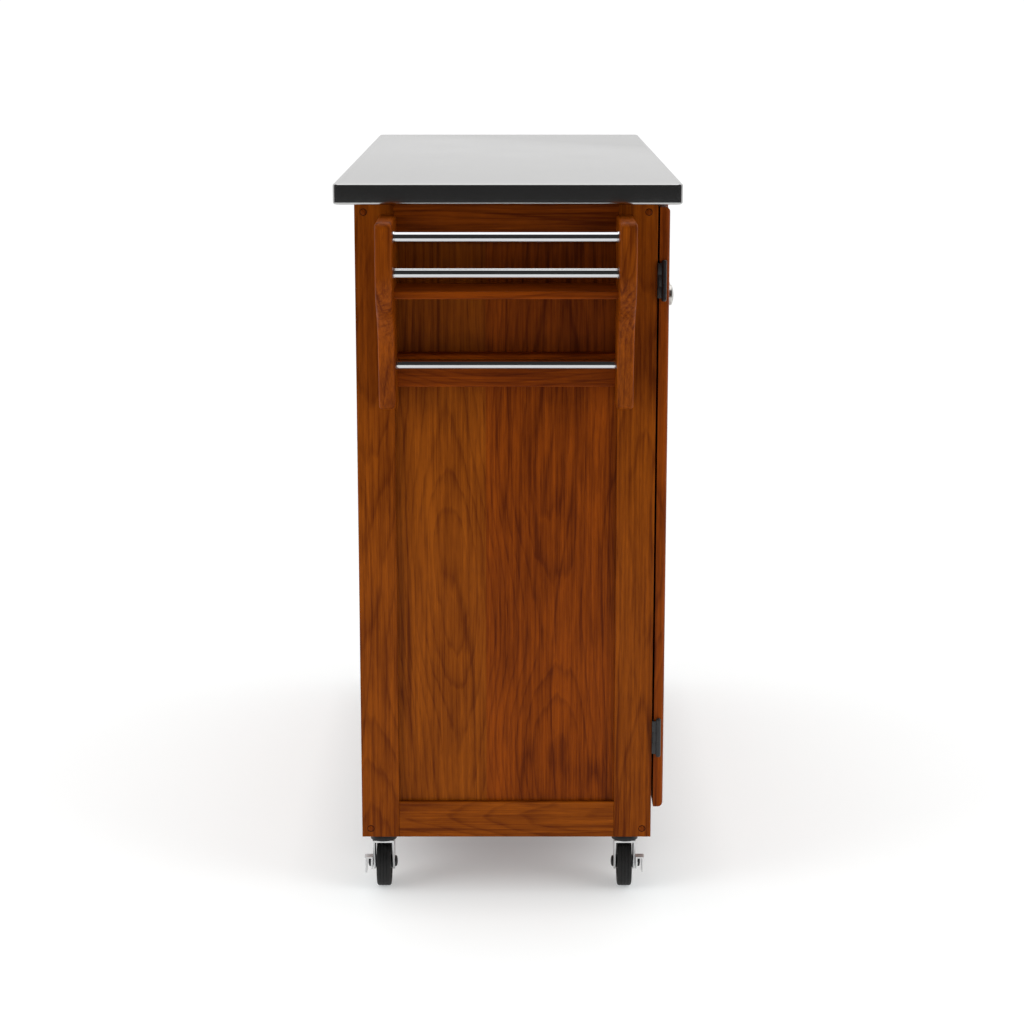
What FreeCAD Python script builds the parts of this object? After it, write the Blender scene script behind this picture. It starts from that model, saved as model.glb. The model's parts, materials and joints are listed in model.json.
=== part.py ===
import FreeCAD, Part
import os
import re
import Sketcher

# A rolling pantry cart: a framed hardwood case on four swivel casters, under a steel-clad worktop.
# X runs along the cart, -Y is the door side, +Z is up, and millimetres are used throughout.
# The left end (-X) carries a spice rack with a towel rod.

Vector = FreeCAD.Vector
doc = FreeCAD.newDocument("pantry_cart")

# ---------------------------------------------------------------- driving sizes
SIZES = [
    # worktop
    ("worktop_length", 1084, "worktop, end to end"),
    ("worktop_width", 422, "worktop, front to back"),
    ("worktop_height", 914.4, "floor to worktop surface"),
    ("worktop_thickness", 25, "steel-clad worktop"),
    ("worktop_corner", 8, "corner radius seen from above"),
    ("worktop_edge", 2.5, "radius of the top edge"),
    ("steel_sheet", 1.2, "worktop cladding"),
    ("steel_return", 18, "flange folded under the worktop"),
    ("core_clearance", 0.2, "between cladding and core"),
    # case
    ("end_overhang", 30, "worktop beyond the end frames"),
    ("front_overhang", 28, "worktop beyond the case front"),
    ("back_overhang", 24, "worktop beyond the case back"),
    ("frame_thickness", 19, "frames of the case"),
    ("stile_width", 47.6, "upright frame members"),
    ("rail_height", 47, "level frame members"),
    ("panel_thickness", 6, "panels of the case"),
    ("panel_recess", 7, "panel face behind the frame face"),
    ("groove_depth", 8, "panel groove and rail tongue"),
    ("groove_fit", 0.1, "play on each face of a panel"),
    ("panel_play", 1, "room for a panel to swell"),
    ("tongue_shoulder", 8, "rail tongue in from the outer edge"),
    ("edge_round", 1, "eased edges of the frames"),
    ("partition_thickness", 12, "upright board in the middle"),
    ("bottom_thickness", 12, "floor board of the case"),
    ("cleat_size", 19, "strips that hold the worktop"),
    ("block_size", 47, "corner blocks over the casters"),
    ("plug_radius", 4.25, "screw plugs of the end frames"),
    ("plug_depth", 6, "plug inside the wood"),
    ("plug_proud", 0.8, "plug above the wood"),
    ("plug_edge", 11.2, "plug centre from the frame's edges"),
    # shelves
    ("shelf_thickness", 16, "adjustable shelf"),
    ("shelf_rise", 354, "floor board to the shelf's top"),
    ("shelf_play", 2, "shelf to the sides of its bay"),
    ("shelf_setback", 8, "shelf behind the front frame"),
    ("pin_radius", 3, "shelf pin"),
    ("pin_reach", 8, "pin out of the wood"),
    ("pin_depth", 5, "pin inside the wood"),
    ("pin_inset", 40, "pin from the case's front and back"),
    # doors
    ("door_thickness", 12.5, "overlay door"),
    ("door_gap", 2.5, "door to case, filled by the hinge leaves"),
    ("door_lap", 6, "door's lower edge under the floor board's top"),
    ("door_top_gap", 5.4, "door to the underside of the worktop"),
    ("door_stile", 47.6, "upright members of a door"),
    ("door_rail", 47.6, "level members of a door"),
    ("door_panel", 5, "door panel"),
    ("door_recess", 3.4, "door panel behind the door's face"),
    ("door_round", 6, "rounded outer edge of a door"),
    ("pair_gap", 3, "between the two doors of a bay"),
    ("centre_gap", 18, "between the doors at the middle"),
    ("knob_radius", 13.5, "knob head"),
    ("knob_projection", 20, "knob out of the door"),
    ("knob_neck", 6, "knob neck radius"),
    ("knob_foot", 8, "knob foot radius"),
    ("knob_drop", 134, "knob under the door's upper edge"),
    # hinges
    ("hinge_out", 3.6, "hinge axis outside the door's edge"),
    ("hinge_forward", 8, "hinge axis in front of the case"),
    ("leaf_thickness", 1.1, "hinge leaf"),
    ("leaf_height", 43, "hinge leaf"),
    ("leaf_reach", 18, "hinge leaf from the axis"),
    ("knuckle_radius", 3.2, "hinge barrel"),
    ("knuckle_length", 14.2, "knuckle of the door leaf"),
    ("knuckle_play", 0.1, "between two knuckles"),
    ("hinge_pin_radius", 1.3, "hinge pin"),
    ("pin_clearance", 0.05, "door knuckle around the pin"),
    ("tip_height", 4, "rounded tip of a hinge pin"),
    ("hinge_low", 93, "lower hinge above the door's lower edge"),
    ("hinge_high", 89, "upper hinge under the door's upper edge"),
    # rack
    ("bracket_depth", 112, "bracket at its top"),
    ("bracket_waist", 65, "bracket under the S-curve"),
    ("bracket_foot", 51, "bracket at its bottom"),
    ("bracket_thickness", 20.7, "bracket board"),
    ("bracket_drop", 14.4, "bracket under the worktop"),
    ("bracket_height", 232, "bracket, bottom to top"),
    ("curve_low_drop", 130, "lower end of the S-curve under the bracket's top"),
    ("curve_high_drop", 89, "upper end of the S-curve under the bracket's top"),
    ("curve_radius", 65, "both bends of the S-curve"),
    ("bracket_corner", 8, "bracket's outer corners"),
    ("bracket_round", 4, "bracket's long edges"),
    ("bracket_inset", 3.4, "bracket over the end panel, past the stile"),
    ("rod_radius", 6.35, "rack rods and towel rod"),
    ("rod_socket", 10, "rod socket in a bracket"),
    ("rod_fit", 0.05, "socket around a rod"),
    ("rod_depth", 86, "rack rods out from the case"),
    ("rod_high_drop", 19, "upper rack rod under the bracket's top"),
    ("rod_low_drop", 61.5, "lower rack rod under the bracket's top"),
    ("towel_depth", 28, "towel rod out from the case"),
    ("towel_rise", 53, "towel rod above the bracket's bottom"),
    ("rack_shelf_depth", 81, "rack shelf out from the case"),
    ("rack_shelf_drop", 84, "rack shelf under the bracket's top"),
    ("rack_shelf_thickness", 9.5, "rack shelf"),
    ("board_rise", 22, "rack board above the bracket's bottom"),
    ("board_height", 41, "board behind the towel rod"),
    ("board_depth", 11, "board out from the case"),
    ("board_round", 2, "edges of the rack shelf and board"),
    ("screw_radius", 2, "rack screws"),
    ("screw_head", 4, "rack screw heads"),
    ("screw_head_height", 2.5, "rack screw heads"),
    ("screw_reach", 16, "rack screw inside a bracket"),
    ("screw_edge", 5.2, "rack screw from the bracket's outer face"),
    # casters
    ("wheel_radius", 31.75, "tyre"),
    ("wheel_width", 18.4, "tyre"),
    ("tyre_round", 3, "shoulder of the tyre"),
    ("rim_radius", 22, "hub where the tyre sits"),
    ("rim_width", 15, "hub where the tyre sits"),
    ("rim_wall", 3, "hub under the tyre"),
    ("tyre_bulge", 2, "tyre out to its full width"),
    ("boss_radius", 9, "hub boss"),
    ("boss_play", 0.4, "hub boss to a fork leg"),
    ("axle_radius", 3, "wheel axle"),
    ("axle_clearance", 0.08, "hub bore around the axle"),
    ("axle_head", 5.5, "axle head radius"),
    ("axle_head_height", 2, "axle head"),
    ("caster_trail", 14, "axle behind the stem"),
    ("stem_inset", 8, "stem from the end frame"),
    ("front_stem_inset", 13, "stem from the front frame"),
    ("back_stem_inset", 7, "stem from the back frame"),
    ("fork_room", 2, "tyre to a fork leg"),
    ("fork_plate", 2.5, "fork leg"),
    ("fork_foot", 9, "fork leg around the axle"),
    ("crown_gap", 2.5, "tyre to the fork crown"),
    ("crown_thickness", 3, "fork crown"),
    ("cup_radius", 16, "swivel bearing cup"),
    ("cup_height", 7.6, "swivel bearing cup"),
    ("swivel_play", 0.4, "cup to the collar"),
    ("collar_thickness", 2, "collar on the stem"),
    ("collar_rim", 1, "collar beyond the bearing cup"),
    ("kingpin_radius", 4, "stem inside the bearing"),
    ("kingpin_rim", 2, "kingpin head beyond the pin, and its thickness"),
    ("kingpin_clearance", 0.05, "bearing around the stem"),
    ("stem_radius", 4.7, "stem inside its socket"),
    ("stem_length", 28, "stem above the case's underside"),
    ("socket_radius", 5.75, "socket in a corner block"),
    ("socket_floor", 1, "socket above the stem"),
    ("lever_offset", 8, "brake pedal's web beyond the fork"),
    ("lever_plate", 2, "brake lever plate"),
    ("lever_flange", 2.6, "brake pedal beyond its web"),
    ("lever_rise", 14.25, "brake pedal above the axle"),
    ("lever_drop", 6.75, "web's lower edge under the axle"),
    ("lever_reach", 26, "brake pedal from the axle"),
    ("lever_boss", 7, "lever boss radius"),
    ("lever_boss_thickness", 3.6, "lever boss"),
]

# ---------------------------------------------------------------- places worked out from them
LAYOUT = [
    # The origin is under the middle of the whole cart, rack and knobs included.
    ("reach_left", "bracket_depth - end_overhang"),
    ("reach_front", "door_gap + door_thickness + knob_projection - front_overhang"),
    ("worktop_left", "(reach_left - worktop_length) / 2"),
    ("worktop_front", "(reach_front - worktop_width) / 2"),
    ("case_left", "worktop_left + end_overhang"),
    ("case_right", "worktop_left + worktop_length - end_overhang"),
    ("case_front", "worktop_front + front_overhang"),
    ("case_back", "worktop_front + worktop_width - back_overhang"),
    ("case_top", "worktop_height - worktop_thickness"),
    ("crown_bottom", "2 * wheel_radius + crown_gap"),
    ("crown_top", "crown_bottom + crown_thickness"),
    ("collar_bottom", "crown_top + cup_height + swivel_play"),
    ("case_bottom", "collar_bottom + collar_thickness"),
    ("case_length", "case_right - case_left"),
    ("case_depth", "case_back - case_front"),
    ("case_height", "case_top - case_bottom"),
    ("middle", "(case_left + case_right) / 2"),
    ("centre", "(case_front + case_back) / 2"),
    ("inner_left", "case_left + frame_thickness"),
    ("inner_right", "case_right - frame_thickness"),
    ("inner_front", "case_front + frame_thickness"),
    ("inner_back", "case_back - frame_thickness"),
    ("partition_left", "middle - partition_thickness / 2"),
    ("partition_right", "middle + partition_thickness / 2"),
    ("floor_top", "case_bottom + rail_height"),
    ("shelf_height", "floor_top + shelf_rise"),
    ("door_width", "(case_length - centre_gap - 2 * pair_gap) / 4"),
    ("door_bottom", "floor_top - door_lap"),
    ("door_height", "case_top - door_top_gap - door_bottom"),
    ("knob_height", "door_bottom + door_height - knob_drop"),
    ("door_face", "case_front - door_gap - door_thickness"),
    ("hinge_y", "case_front - hinge_forward"),
    ("hinge_low_z", "door_bottom + hinge_low"),
    ("hinge_high_z", "door_bottom + door_height - hinge_high"),
    ("rack_width", "case_depth - 2 * stile_width - 2 * bracket_inset"),
    ("bracket_back_y", "centre + rack_width / 2"),
    ("bracket_front_y", "centre - rack_width / 2"),
    ("rack_back", "case_left + panel_recess"),
    ("bracket_top", "case_top - bracket_drop"),
    ("bracket_bottom", "bracket_top - bracket_height"),
    ("curve_low", "bracket_height - curve_low_drop"),
    ("curve_high", "bracket_height - curve_high_drop"),
    ("rod_high", "bracket_top - rod_high_drop"),
    ("rod_low", "bracket_top - rod_low_drop"),
    ("towel_height", "bracket_bottom + towel_rise"),
    ("rack_shelf_top", "bracket_top - rack_shelf_drop"),
    ("board_bottom", "bracket_bottom + board_rise"),
    ("fork_gap", "wheel_width + 2 * fork_room"),
    ("fork_half", "fork_gap / 2 + fork_plate"),
    ("front_caster_y", "inner_front + front_stem_inset"),
    ("back_caster_y", "inner_back - back_stem_inset"),
    ("left_caster_x", "inner_left + stem_inset"),
    ("right_caster_x", "inner_right - stem_inset"),
    ("lever_top", "wheel_radius + lever_rise"),
    ("lever_bottom", "wheel_radius - lever_drop"),
    ("rim_inside", "rim_radius - rim_wall"),
    ("tyre_shoulder", "min(tyre_round; (wheel_radius - rim_radius) / 3)"),
]

size_names = {alias for alias, number, note in SIZES}
place_names = {alias for alias, formula in LAYOUT}

sizes = doc.addObject("Spreadsheet::Sheet", "Sizes")
for row, (alias, number, note) in enumerate(SIZES, 1):
    sizes.set(f"A{row}", note)
    sizes.set(f"B{row}", str(number))
    sizes.setAlias(f"B{row}", alias)
doc.recompute()


def bind(text):
    """Gives every size and place named in a formula the sheet that holds it."""
    def with_sheet(match):
        word = match.group(0)
        if word in size_names:
            return "Sizes." + word
        if word in place_names:
            return "Layout." + word
        return word
    return re.sub(r"[a-z][a-z_0-9]*", with_sheet, text)


layout = doc.addObject("Spreadsheet::Sheet", "Layout")
for row, (alias, formula) in enumerate(LAYOUT, 1):
    layout.set(f"A{row}", "=" + bind(formula).replace("Layout.", ""))
    layout.setAlias(f"A{row}", alias)
    doc.recompute()


def value(text):
    """The present value of a formula, in millimetres."""
    result = sizes.evalExpression(bind(text))
    return float(getattr(result, "Value", result))


# ---------------------------------------------------------------- building blocks
LEVEL_X = FreeCAD.Rotation(Vector(0, 1, 0), 90)      # a cylinder's axis turned to +X
LEVEL_Y = FreeCAD.Rotation(Vector(1, 0, 0), -90)     # a cylinder's axis turned to +Y
UPRIGHT = FreeCAD.Rotation(Vector(1, 0, 0), 90)      # a sketch stood up, its normal to -Y
NO_TURN = FreeCAD.Rotation()


def turned(degrees):
    return FreeCAD.Rotation(Vector(0, 0, 1), degrees)


def put(item, place, rotation=NO_TURN):
    """Places an object: three formulas for its base, and a fixed rotation."""
    item.Placement = FreeCAD.Placement(Vector(*[value(text) for text in place]), rotation)
    for axis, text in zip("xyz", place):
        item.setExpression(".Placement.Base." + axis, bind(text))
    return item


def block(name, low, size):
    """A box from its lowest corner and its three lengths."""
    item = doc.addObject("Part::Box", name)
    for side, text in zip(("Length", "Width", "Height"), size):
        item.setExpression(side, bind(text))
    return put(item, low)


def cylinder(name, place, radius, length, rotation=NO_TURN):
    item = doc.addObject("Part::Cylinder", name)
    item.setExpression("Radius", bind(radius))
    item.setExpression("Height", bind(length))
    return put(item, place, rotation)


def cut(name, base, *tools):
    """A piece less its tools, one after another."""
    for number, tool in enumerate(tools, 1):
        item = doc.addObject("Part::Cut", f"{name}_cut{number}")
        item.Base = base
        item.Tool = tool
        base = item
    return base


def join(name, *pieces):
    item = doc.addObject("Part::MultiFuse", name + "_joined")
    item.Shapes = list(pieces)
    return item


def rounded(name, base, radius, wanted):
    """Rounds the edges that wanted(edge) picks on a piece."""
    doc.recompute()
    size = value(radius)
    picked = [number for number, edge in enumerate(base.Shape.Edges, 1) if wanted(edge)]
    if not picked:
        raise ValueError(name + " has no edge to round")
    item = doc.addObject("Part::Fillet", name + "_rounded")
    item.Base = base
    item.Edges = [(number, size, size) for number in picked]
    return item


def flat_at(edge, axis, level):
    """True where an edge lies in the plane at this level on this axis."""
    box = edge.BoundBox
    low, high = getattr(box, axis + "Min"), getattr(box, axis + "Max")
    return abs(low - level) < 0.01 and abs(high - level) < 0.01


node_list = []


def node(name, pieces, place=("0", "0", "0"), rotation=NO_TURN):
    """A named sub-part: one object, or several separate solids kept together."""
    if len(pieces) == 1 and place == ("0", "0", "0"):
        item = pieces[0]
    else:
        item = doc.addObject("Part::Compound", name)
        item.Links = list(pieces)
        put(item, place, rotation)
    item.Label = name
    node_list.append(item)
    return item


def origin_plane(body, role):
    return [item for item in body.Origin.OriginFeatures if item.Role == role][0]


def new_sketch(body, name, lift="0"):
    sketch = body.newObject("Sketcher::SketchObject", name)
    sketch.AttachmentSupport = [(origin_plane(body, "XY_Plane"), "")]
    sketch.MapMode = "FlatFace"
    sketch.setExpression(".AttachmentOffset.Base.z", bind(lift))
    return sketch


def set_distance(sketch, kind, first, second, text):
    """A named distance between two points of a sketch, bound to a formula."""
    number = sketch.addConstraint(Sketcher.Constraint(kind, *first, *second, value(text)))
    sketch.renameConstraint(number, f"d{number}")
    sketch.setExpression(f"Constraints.d{number}", bind(text))


def outline(body, name, corners, lift="0"):
    """A closed sketch of straight lines through the corners, each placed from the origin."""
    sketch = new_sketch(body, name, lift)
    points = [Vector(value(across), value(up), 0) for across, up in corners]
    count = len(points)
    for number in range(count):
        sketch.addGeometry(Part.LineSegment(points[number], points[(number + 1) % count]))
    for number in range(count):
        following = (number + 1) % count
        sketch.addConstraint(Sketcher.Constraint("Coincident", number, 2, following, 1))
    for number, (across, up) in enumerate(corners):
        for kind, axis_line, text in (("DistanceX", -2, across), ("DistanceY", -1, up)):
            if text == "0":
                sketch.addConstraint(Sketcher.Constraint("PointOnObject", number, 1, axis_line))
            else:
                set_distance(sketch, kind, (-1, 1), (number, 1), text)
    return sketch


def rounded_rectangle(body, name, length, width, radius, inset="0", lift="0"):
    """A rectangle with rounded corners, its lower left corner at (inset, inset)."""
    sketch = new_sketch(body, name, lift)
    r, off = value(radius), value(inset)
    x1, y1 = off + value(length), off + value(width)
    runs = [((off + r, off), (x1 - r, off)), ((x1, off + r), (x1, y1 - r)),
            ((x1 - r, y1), (off + r, y1)), ((off, y1 - r), (off, off + r))]
    for start, end in runs:
        sketch.addGeometry(Part.LineSegment(Vector(*start, 0), Vector(*end, 0)))
    centres = [(x1 - r, off + r), (x1 - r, y1 - r), (off + r, y1 - r), (off + r, off + r)]
    quarter = 1.5707963267948966
    for number, (x, y) in enumerate(centres):
        circle = Part.Circle(Vector(x, y, 0), Vector(0, 0, 1), r)
        start = (number - 1) * quarter
        sketch.addGeometry(Part.ArcOfCircle(circle, start, start + quarter))
    for number in range(4):
        sketch.addConstraint(Sketcher.Constraint("Tangent", number, 2, 4 + number, 1))
        sketch.addConstraint(Sketcher.Constraint("Tangent", 4 + number, 2, (number + 1) % 4, 1))
    for number in (0, 2):
        sketch.addConstraint(Sketcher.Constraint("Horizontal", number))
    for number in (1, 3):
        sketch.addConstraint(Sketcher.Constraint("Vertical", number))
    for number in (5, 6, 7):
        sketch.addConstraint(Sketcher.Constraint("Equal", 4, number))
    number = sketch.addConstraint(Sketcher.Constraint("Radius", 4, r))
    sketch.renameConstraint(number, "corner")
    sketch.setExpression("Constraints.corner", bind(radius))
    set_distance(sketch, "DistanceX", (3, 1), (1, 1), length)
    set_distance(sketch, "DistanceY", (0, 1), (2, 1), width)
    if inset == "0":
        sketch.addConstraint(Sketcher.Constraint("PointOnObject", 3, 1, -2))
        sketch.addConstraint(Sketcher.Constraint("PointOnObject", 0, 1, -1))
    else:
        set_distance(sketch, "DistanceX", (-1, 1), (3, 1), inset)
        set_distance(sketch, "DistanceY", (-1, 1), (0, 1), inset)
    return sketch


def new_body(name):
    return doc.addObject("PartDesign::Body", name)


def pad(body, sketch, length):
    item = body.newObject("PartDesign::Pad", sketch.Name + "_pad")
    item.Profile = sketch
    item.setExpression("Length", bind(length))
    return item


def pocket_up(body, sketch, depth):
    """A pocket that cuts upwards from its sketch."""
    item = body.newObject("PartDesign::Pocket", sketch.Name + "_pocket")
    item.Profile = sketch
    item.setExpression("Length", bind(depth))
    item.Reversed = True
    return item


def round_feature(body, name, radius, wanted):
    """A PartDesign fillet on the edges of the body's tip that wanted(edge) picks."""
    doc.recompute()
    tip = body.Tip
    names = [f"Edge{n}" for n, edge in enumerate(tip.Shape.Edges, 1) if wanted(edge)]
    if not names:
        raise ValueError(name + " has no edge to round")
    item = body.newObject("PartDesign::Fillet", name)
    item.Base = (tip, names)
    item.setExpression("Radius", bind(radius))
    return item


def spun(name, corners):
    """A body turned about its own Y axis from a half outline of (radius, along) corners."""
    body = new_body(name)
    sketch = outline(body, name + "_half", corners)
    item = body.newObject("PartDesign::Revolution", name + "_turned")
    item.Profile = sketch
    item.ReferenceAxis = (sketch, ["V_Axis"])
    item.Angle = 360
    return body


# ---------------------------------------------------------------- framed panels
def framed_panel(name, width, height, thickness, stile, rail, panel, recess, play, middle_stile=False):
    """Stiles, grooved rails with tongues, and floating panels, in a frame of their own.

    The frame's face lies on y = 0 and looks to -Y; X runs along its width and Z up from its bottom.
    """
    groove_y = f"{recess} - groove_fit"
    groove_wide = f"{panel} + 2 * groove_fit"
    groove_high = f"{height} - 2 * tongue_shoulder"

    def eased(label, piece):
        return rounded(label, piece, "edge_round", lambda edge: flat_at(edge, "Y", 0))

    def stile_piece(label, left, grooves):
        piece = block(label, (left, "0", "0"), (stile, thickness, height))
        tools = [block(f"{label}_groove{number}", (at, groove_y, "tongue_shoulder"),
                       ("groove_depth", groove_wide, groove_high)) for number, at in enumerate(grooves)]
        return cut(label, piece, *tools)

    def rail_piece(label, left, length, bottom, groove_z, tongue_z):
        tongue_high = f"{rail} - tongue_shoulder - groove_depth"
        piece = block(label, (left, "0", bottom), (length, thickness, rail))
        groove = block(label + "_groove", (left, groove_y, groove_z), (length, groove_wide, "groove_depth"))
        grooved = eased(label, cut(label, piece, groove))
        tongue_left = f"{left} - groove_depth + groove_fit"
        tongue_long = f"{length} + 2 * groove_depth - 2 * groove_fit"
        tongue = block(label + "_tongue", (tongue_left, recess, tongue_z),
                       (tongue_long, panel, tongue_high))
        return join(label, grooved, tongue)

    if middle_stile:
        middle_left = f"({width} - {stile}) / 2"
        opening = f"({width} - 3 * {stile}) / 2"
        lefts = [stile, f"{middle_left} + {stile}"]
    else:
        opening = f"{width} - 2 * {stile}"
        lefts = [stile]
    last = f"{width} - {stile}"

    stiles = [stile_piece(name + "_stile_a", "0", [f"{stile} - groove_depth"])]
    if middle_stile:
        both = [middle_left, f"{middle_left} + {stile} - groove_depth"]
        stiles.append(stile_piece(name + "_stile_m", middle_left, both))
    stiles.append(stile_piece(name + "_stile_b", last, [last]))

    rails, panels = [], []
    for number, left in enumerate(lefts):
        low_tongue = "tongue_shoulder"
        high_tongue = f"{height} - {rail} + groove_depth"
        rails.append(rail_piece(f"{name}_low_rail{number}", left, opening, "0",
                                f"{rail} - groove_depth", low_tongue))
        rails.append(rail_piece(f"{name}_high_rail{number}", left, opening, f"{height} - {rail}",
                                f"{height} - {rail}", high_tongue))
        panels.append(block(f"{name}_board{number}",
                            (f"{left} - groove_depth + {play}", recess, f"{rail} - groove_depth"),
                            (f"{opening} + 2 * groove_depth - 2 * {play}", panel,
                             f"{height} - 2 * {rail} + 2 * groove_depth - {play}")))
    return stiles, rails, panels


def case_frame(name, width, place, rotation, middle_stile=False):
    """One framed side of the case, as three sub-parts."""
    stiles, rails, panels = framed_panel(name, width, "case_height", "frame_thickness", "stile_width",
                                         "rail_height", "panel_thickness", "panel_recess",
                                         "panel_play", middle_stile)
    eased = [rounded(piece.Name, piece, "edge_round", lambda edge: flat_at(edge, "Y", 0))
             for piece in stiles]
    node(name + "_stiles", eased, place, rotation)
    node(name + "_rails", rails, place, rotation)
    node(name + ("_panels" if middle_stile else "_panel"), panels, place, rotation)


def build_case():
    case_frame("left_end", "case_depth", ("case_left", "case_back", "case_bottom"), turned(-90))
    case_frame("right_end", "case_depth", ("case_right", "case_front", "case_bottom"), turned(90))
    case_frame("back", "case_length - 2 * frame_thickness",
               ("inner_right", "case_back", "case_bottom"), turned(180), middle_stile=True)

    inside_length = "inner_right - inner_left"
    front_rails = [block("front_rail_" + name, ("inner_left", "case_front", bottom),
                         (inside_length, "frame_thickness", "rail_height"))
                   for name, bottom in (("low", "case_bottom"), ("high", "case_top - rail_height"))]
    node("front_rails", front_rails)
    node("centre_stile", [block("centre_stile_bar", ("middle - stile_width / 2", "case_front", "floor_top"),
                                ("stile_width", "frame_thickness", "case_height - 2 * rail_height"))])
    bottom_board = block("bottom_board", ("inner_left", "inner_front", "floor_top - bottom_thickness"),
                         (inside_length, "inner_back - inner_front", "bottom_thickness"))
    node("bottom_panel", [bottom_board])
    node("centre_partition", [block("partition_board", ("partition_left", "inner_front", "floor_top"),
                                    ("partition_thickness", "inner_back - inner_front",
                                     "case_top - floor_top"))])
    cleats = [block("cleat" + str(number), (left, "inner_front", "case_top - cleat_size"),
                    ("cleat_size", "inner_back - inner_front", "cleat_size"))
              for number, left in enumerate(("inner_left", "partition_left - cleat_size",
                                             "partition_right", "inner_right - cleat_size"))]
    node("worktop_cleats", cleats)

    # Corner blocks, bored for the caster sockets.
    blocks = []
    for corner, x, y in caster_corners:
        left = "inner_left" if x == "left_caster_x" else "inner_right - block_size"
        front = "inner_front" if y == "front_caster_y" else "inner_back - block_size"
        high = "floor_top - bottom_thickness - case_bottom"
        solid = block(corner + "_block", (left, front, "case_bottom"), ("block_size", "block_size", high))
        bore = cylinder(corner + "_block_bore", (x, y, "case_bottom"), "socket_radius", high)
        blocks.append(cut(corner + "_block", solid, bore))
    node("corner_blocks", blocks)


def build_plugs():
    """Domed screw plugs near the corners of both end frames."""
    plugs = []
    ends = (("left", "case_left + plug_depth", -90), ("right", "case_right - plug_depth", 90))
    for end, face, turn in ends:
        rotation = FreeCAD.Rotation(Vector(0, 1, 0), turn)
        for side, y in (("front", "case_front + plug_edge"), ("back", "case_back - plug_edge")):
            for level, z in (("low", "case_bottom + plug_edge"), ("high", "case_top - plug_edge")):
                name = f"{end}_{side}_{level}_plug"
                stub = cylinder(name, ("0", "0", "0"), "plug_radius", "plug_depth + plug_proud")
                domed = rounded(name, stub, "plug_proud * 0.9",
                                lambda edge: flat_at(edge, "Z", value("plug_depth + plug_proud")))
                plugs.append(put(domed, (face, y, z), rotation))
    node("end_plugs", plugs)


# ---------------------------------------------------------------- worktop
def build_worktop():
    """A sheet-steel tray, folded under at its edge, over a solid core."""
    body = new_body("worktop_steel")
    pad(body, rounded_rectangle(body, "worktop_plan", "worktop_length", "worktop_width", "worktop_corner"),
        "worktop_thickness")
    round_feature(body, "worktop_top_edge", "worktop_edge",
                  lambda edge: flat_at(edge, "Z", value("worktop_thickness")))
    cavity = rounded_rectangle(body, "core_space", "worktop_length - 2 * steel_sheet",
                               "worktop_width - 2 * steel_sheet", "worktop_corner - steel_sheet",
                               "steel_sheet", "steel_sheet")
    pocket_up(body, cavity, "worktop_thickness - 2 * steel_sheet")
    mouth = rounded_rectangle(body, "underside_mouth", "worktop_length - 2 * steel_return",
                              "worktop_width - 2 * steel_return", "worktop_corner", "steel_return")
    pocket_up(body, mouth, "steel_sheet")
    put(body, ("worktop_left", "worktop_front", "case_top"))
    node("worktop_steel", [body])

    core = new_body("worktop_core")
    core_inset = "steel_sheet + core_clearance"
    pad(core, rounded_rectangle(core, "core_plan", f"worktop_length - 2 * ({core_inset})",
                                f"worktop_width - 2 * ({core_inset})",
                                f"worktop_corner - ({core_inset})", core_inset),
        "worktop_thickness - 2 * steel_sheet")
    put(core, ("worktop_left", "worktop_front", "case_top + steel_sheet"))
    node("worktop_core", [core])


# ---------------------------------------------------------------- shelves
def build_shelves():
    """One loose shelf in each bay, on four pins."""
    shelves, pins = [], []
    shelf_bottom = "shelf_height - shelf_thickness"
    for bay, left, right in (("left", "inner_left", "partition_left"),
                             ("right", "partition_right", "inner_right")):
        shelves.append(block(bay + "_shelf",
                             (f"{left} + shelf_play", "inner_front + shelf_setback", shelf_bottom),
                             (f"{right} - {left} - 2 * shelf_play",
                              "inner_back - inner_front - shelf_setback - shelf_play",
                              "shelf_thickness")))
        for side, y in (("front", "case_front + pin_inset"), ("back", "case_back - pin_inset")):
            for wall, x in (("a", f"{left} - pin_depth"), ("b", f"{right} - pin_reach")):
                pins.append(cylinder(f"{bay}_{side}_pin_{wall}", (x, y, f"{shelf_bottom} - pin_radius"),
                                     "pin_radius", "pin_depth + pin_reach", LEVEL_X))
    node("shelves", shelves)
    node("shelf_pins", pins)


# ---------------------------------------------------------------- doors and hinges
# Each door: its name, its left edge, its hinge axis, and whether its hinges are on its right.
DOORS = [
    ("left_door", "case_left", "case_left - hinge_out", False),
    ("left_centre_door", "case_left + door_width + pair_gap",
     "middle - centre_gap / 2 + hinge_out", True),
    ("right_centre_door", "middle + centre_gap / 2", "middle + centre_gap / 2 - hinge_out", False),
    ("right_door", "case_right - door_width", "case_right + hinge_out", True),
]
HALF_TURN = FreeCAD.Rotation(Vector(0, 1, 0), 180)


def hinge_leaf(name, near, knuckles, bore):
    """A flat leaf, a tab out to the barrel at each knuckle, and the knuckles themselves.

    The hinge's axis is the local Z axis. near is the leaf's face towards the axis, and knuckles
    lists each one's lower end and length.
    """
    leaf = block(name, ("leaf_thickness / 2 + knuckle_play", near, "-leaf_height / 2"),
                 ("leaf_reach - leaf_thickness / 2 - knuckle_play", "leaf_thickness", "leaf_height"))
    pieces = [leaf]
    bores = []
    for number, (bottom, length) in enumerate(knuckles):
        label = f"{name}_k{number}"
        pieces.append(block(label + "_web", ("-leaf_thickness / 2", near, bottom),
                            ("leaf_thickness + 2 * knuckle_play", "leaf_thickness", length)))
        pieces.append(block(label + "_tab", ("-leaf_thickness / 2", "0", bottom),
                            ("leaf_thickness", f"{near} + leaf_thickness", length)))
        pieces.append(cylinder(label, ("0", "0", bottom), "knuckle_radius", length))
        bores.append(cylinder(label + "_bore", ("0", "0", bottom), bore, length))
    return cut(name, join(name, *pieces), *bores)


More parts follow.
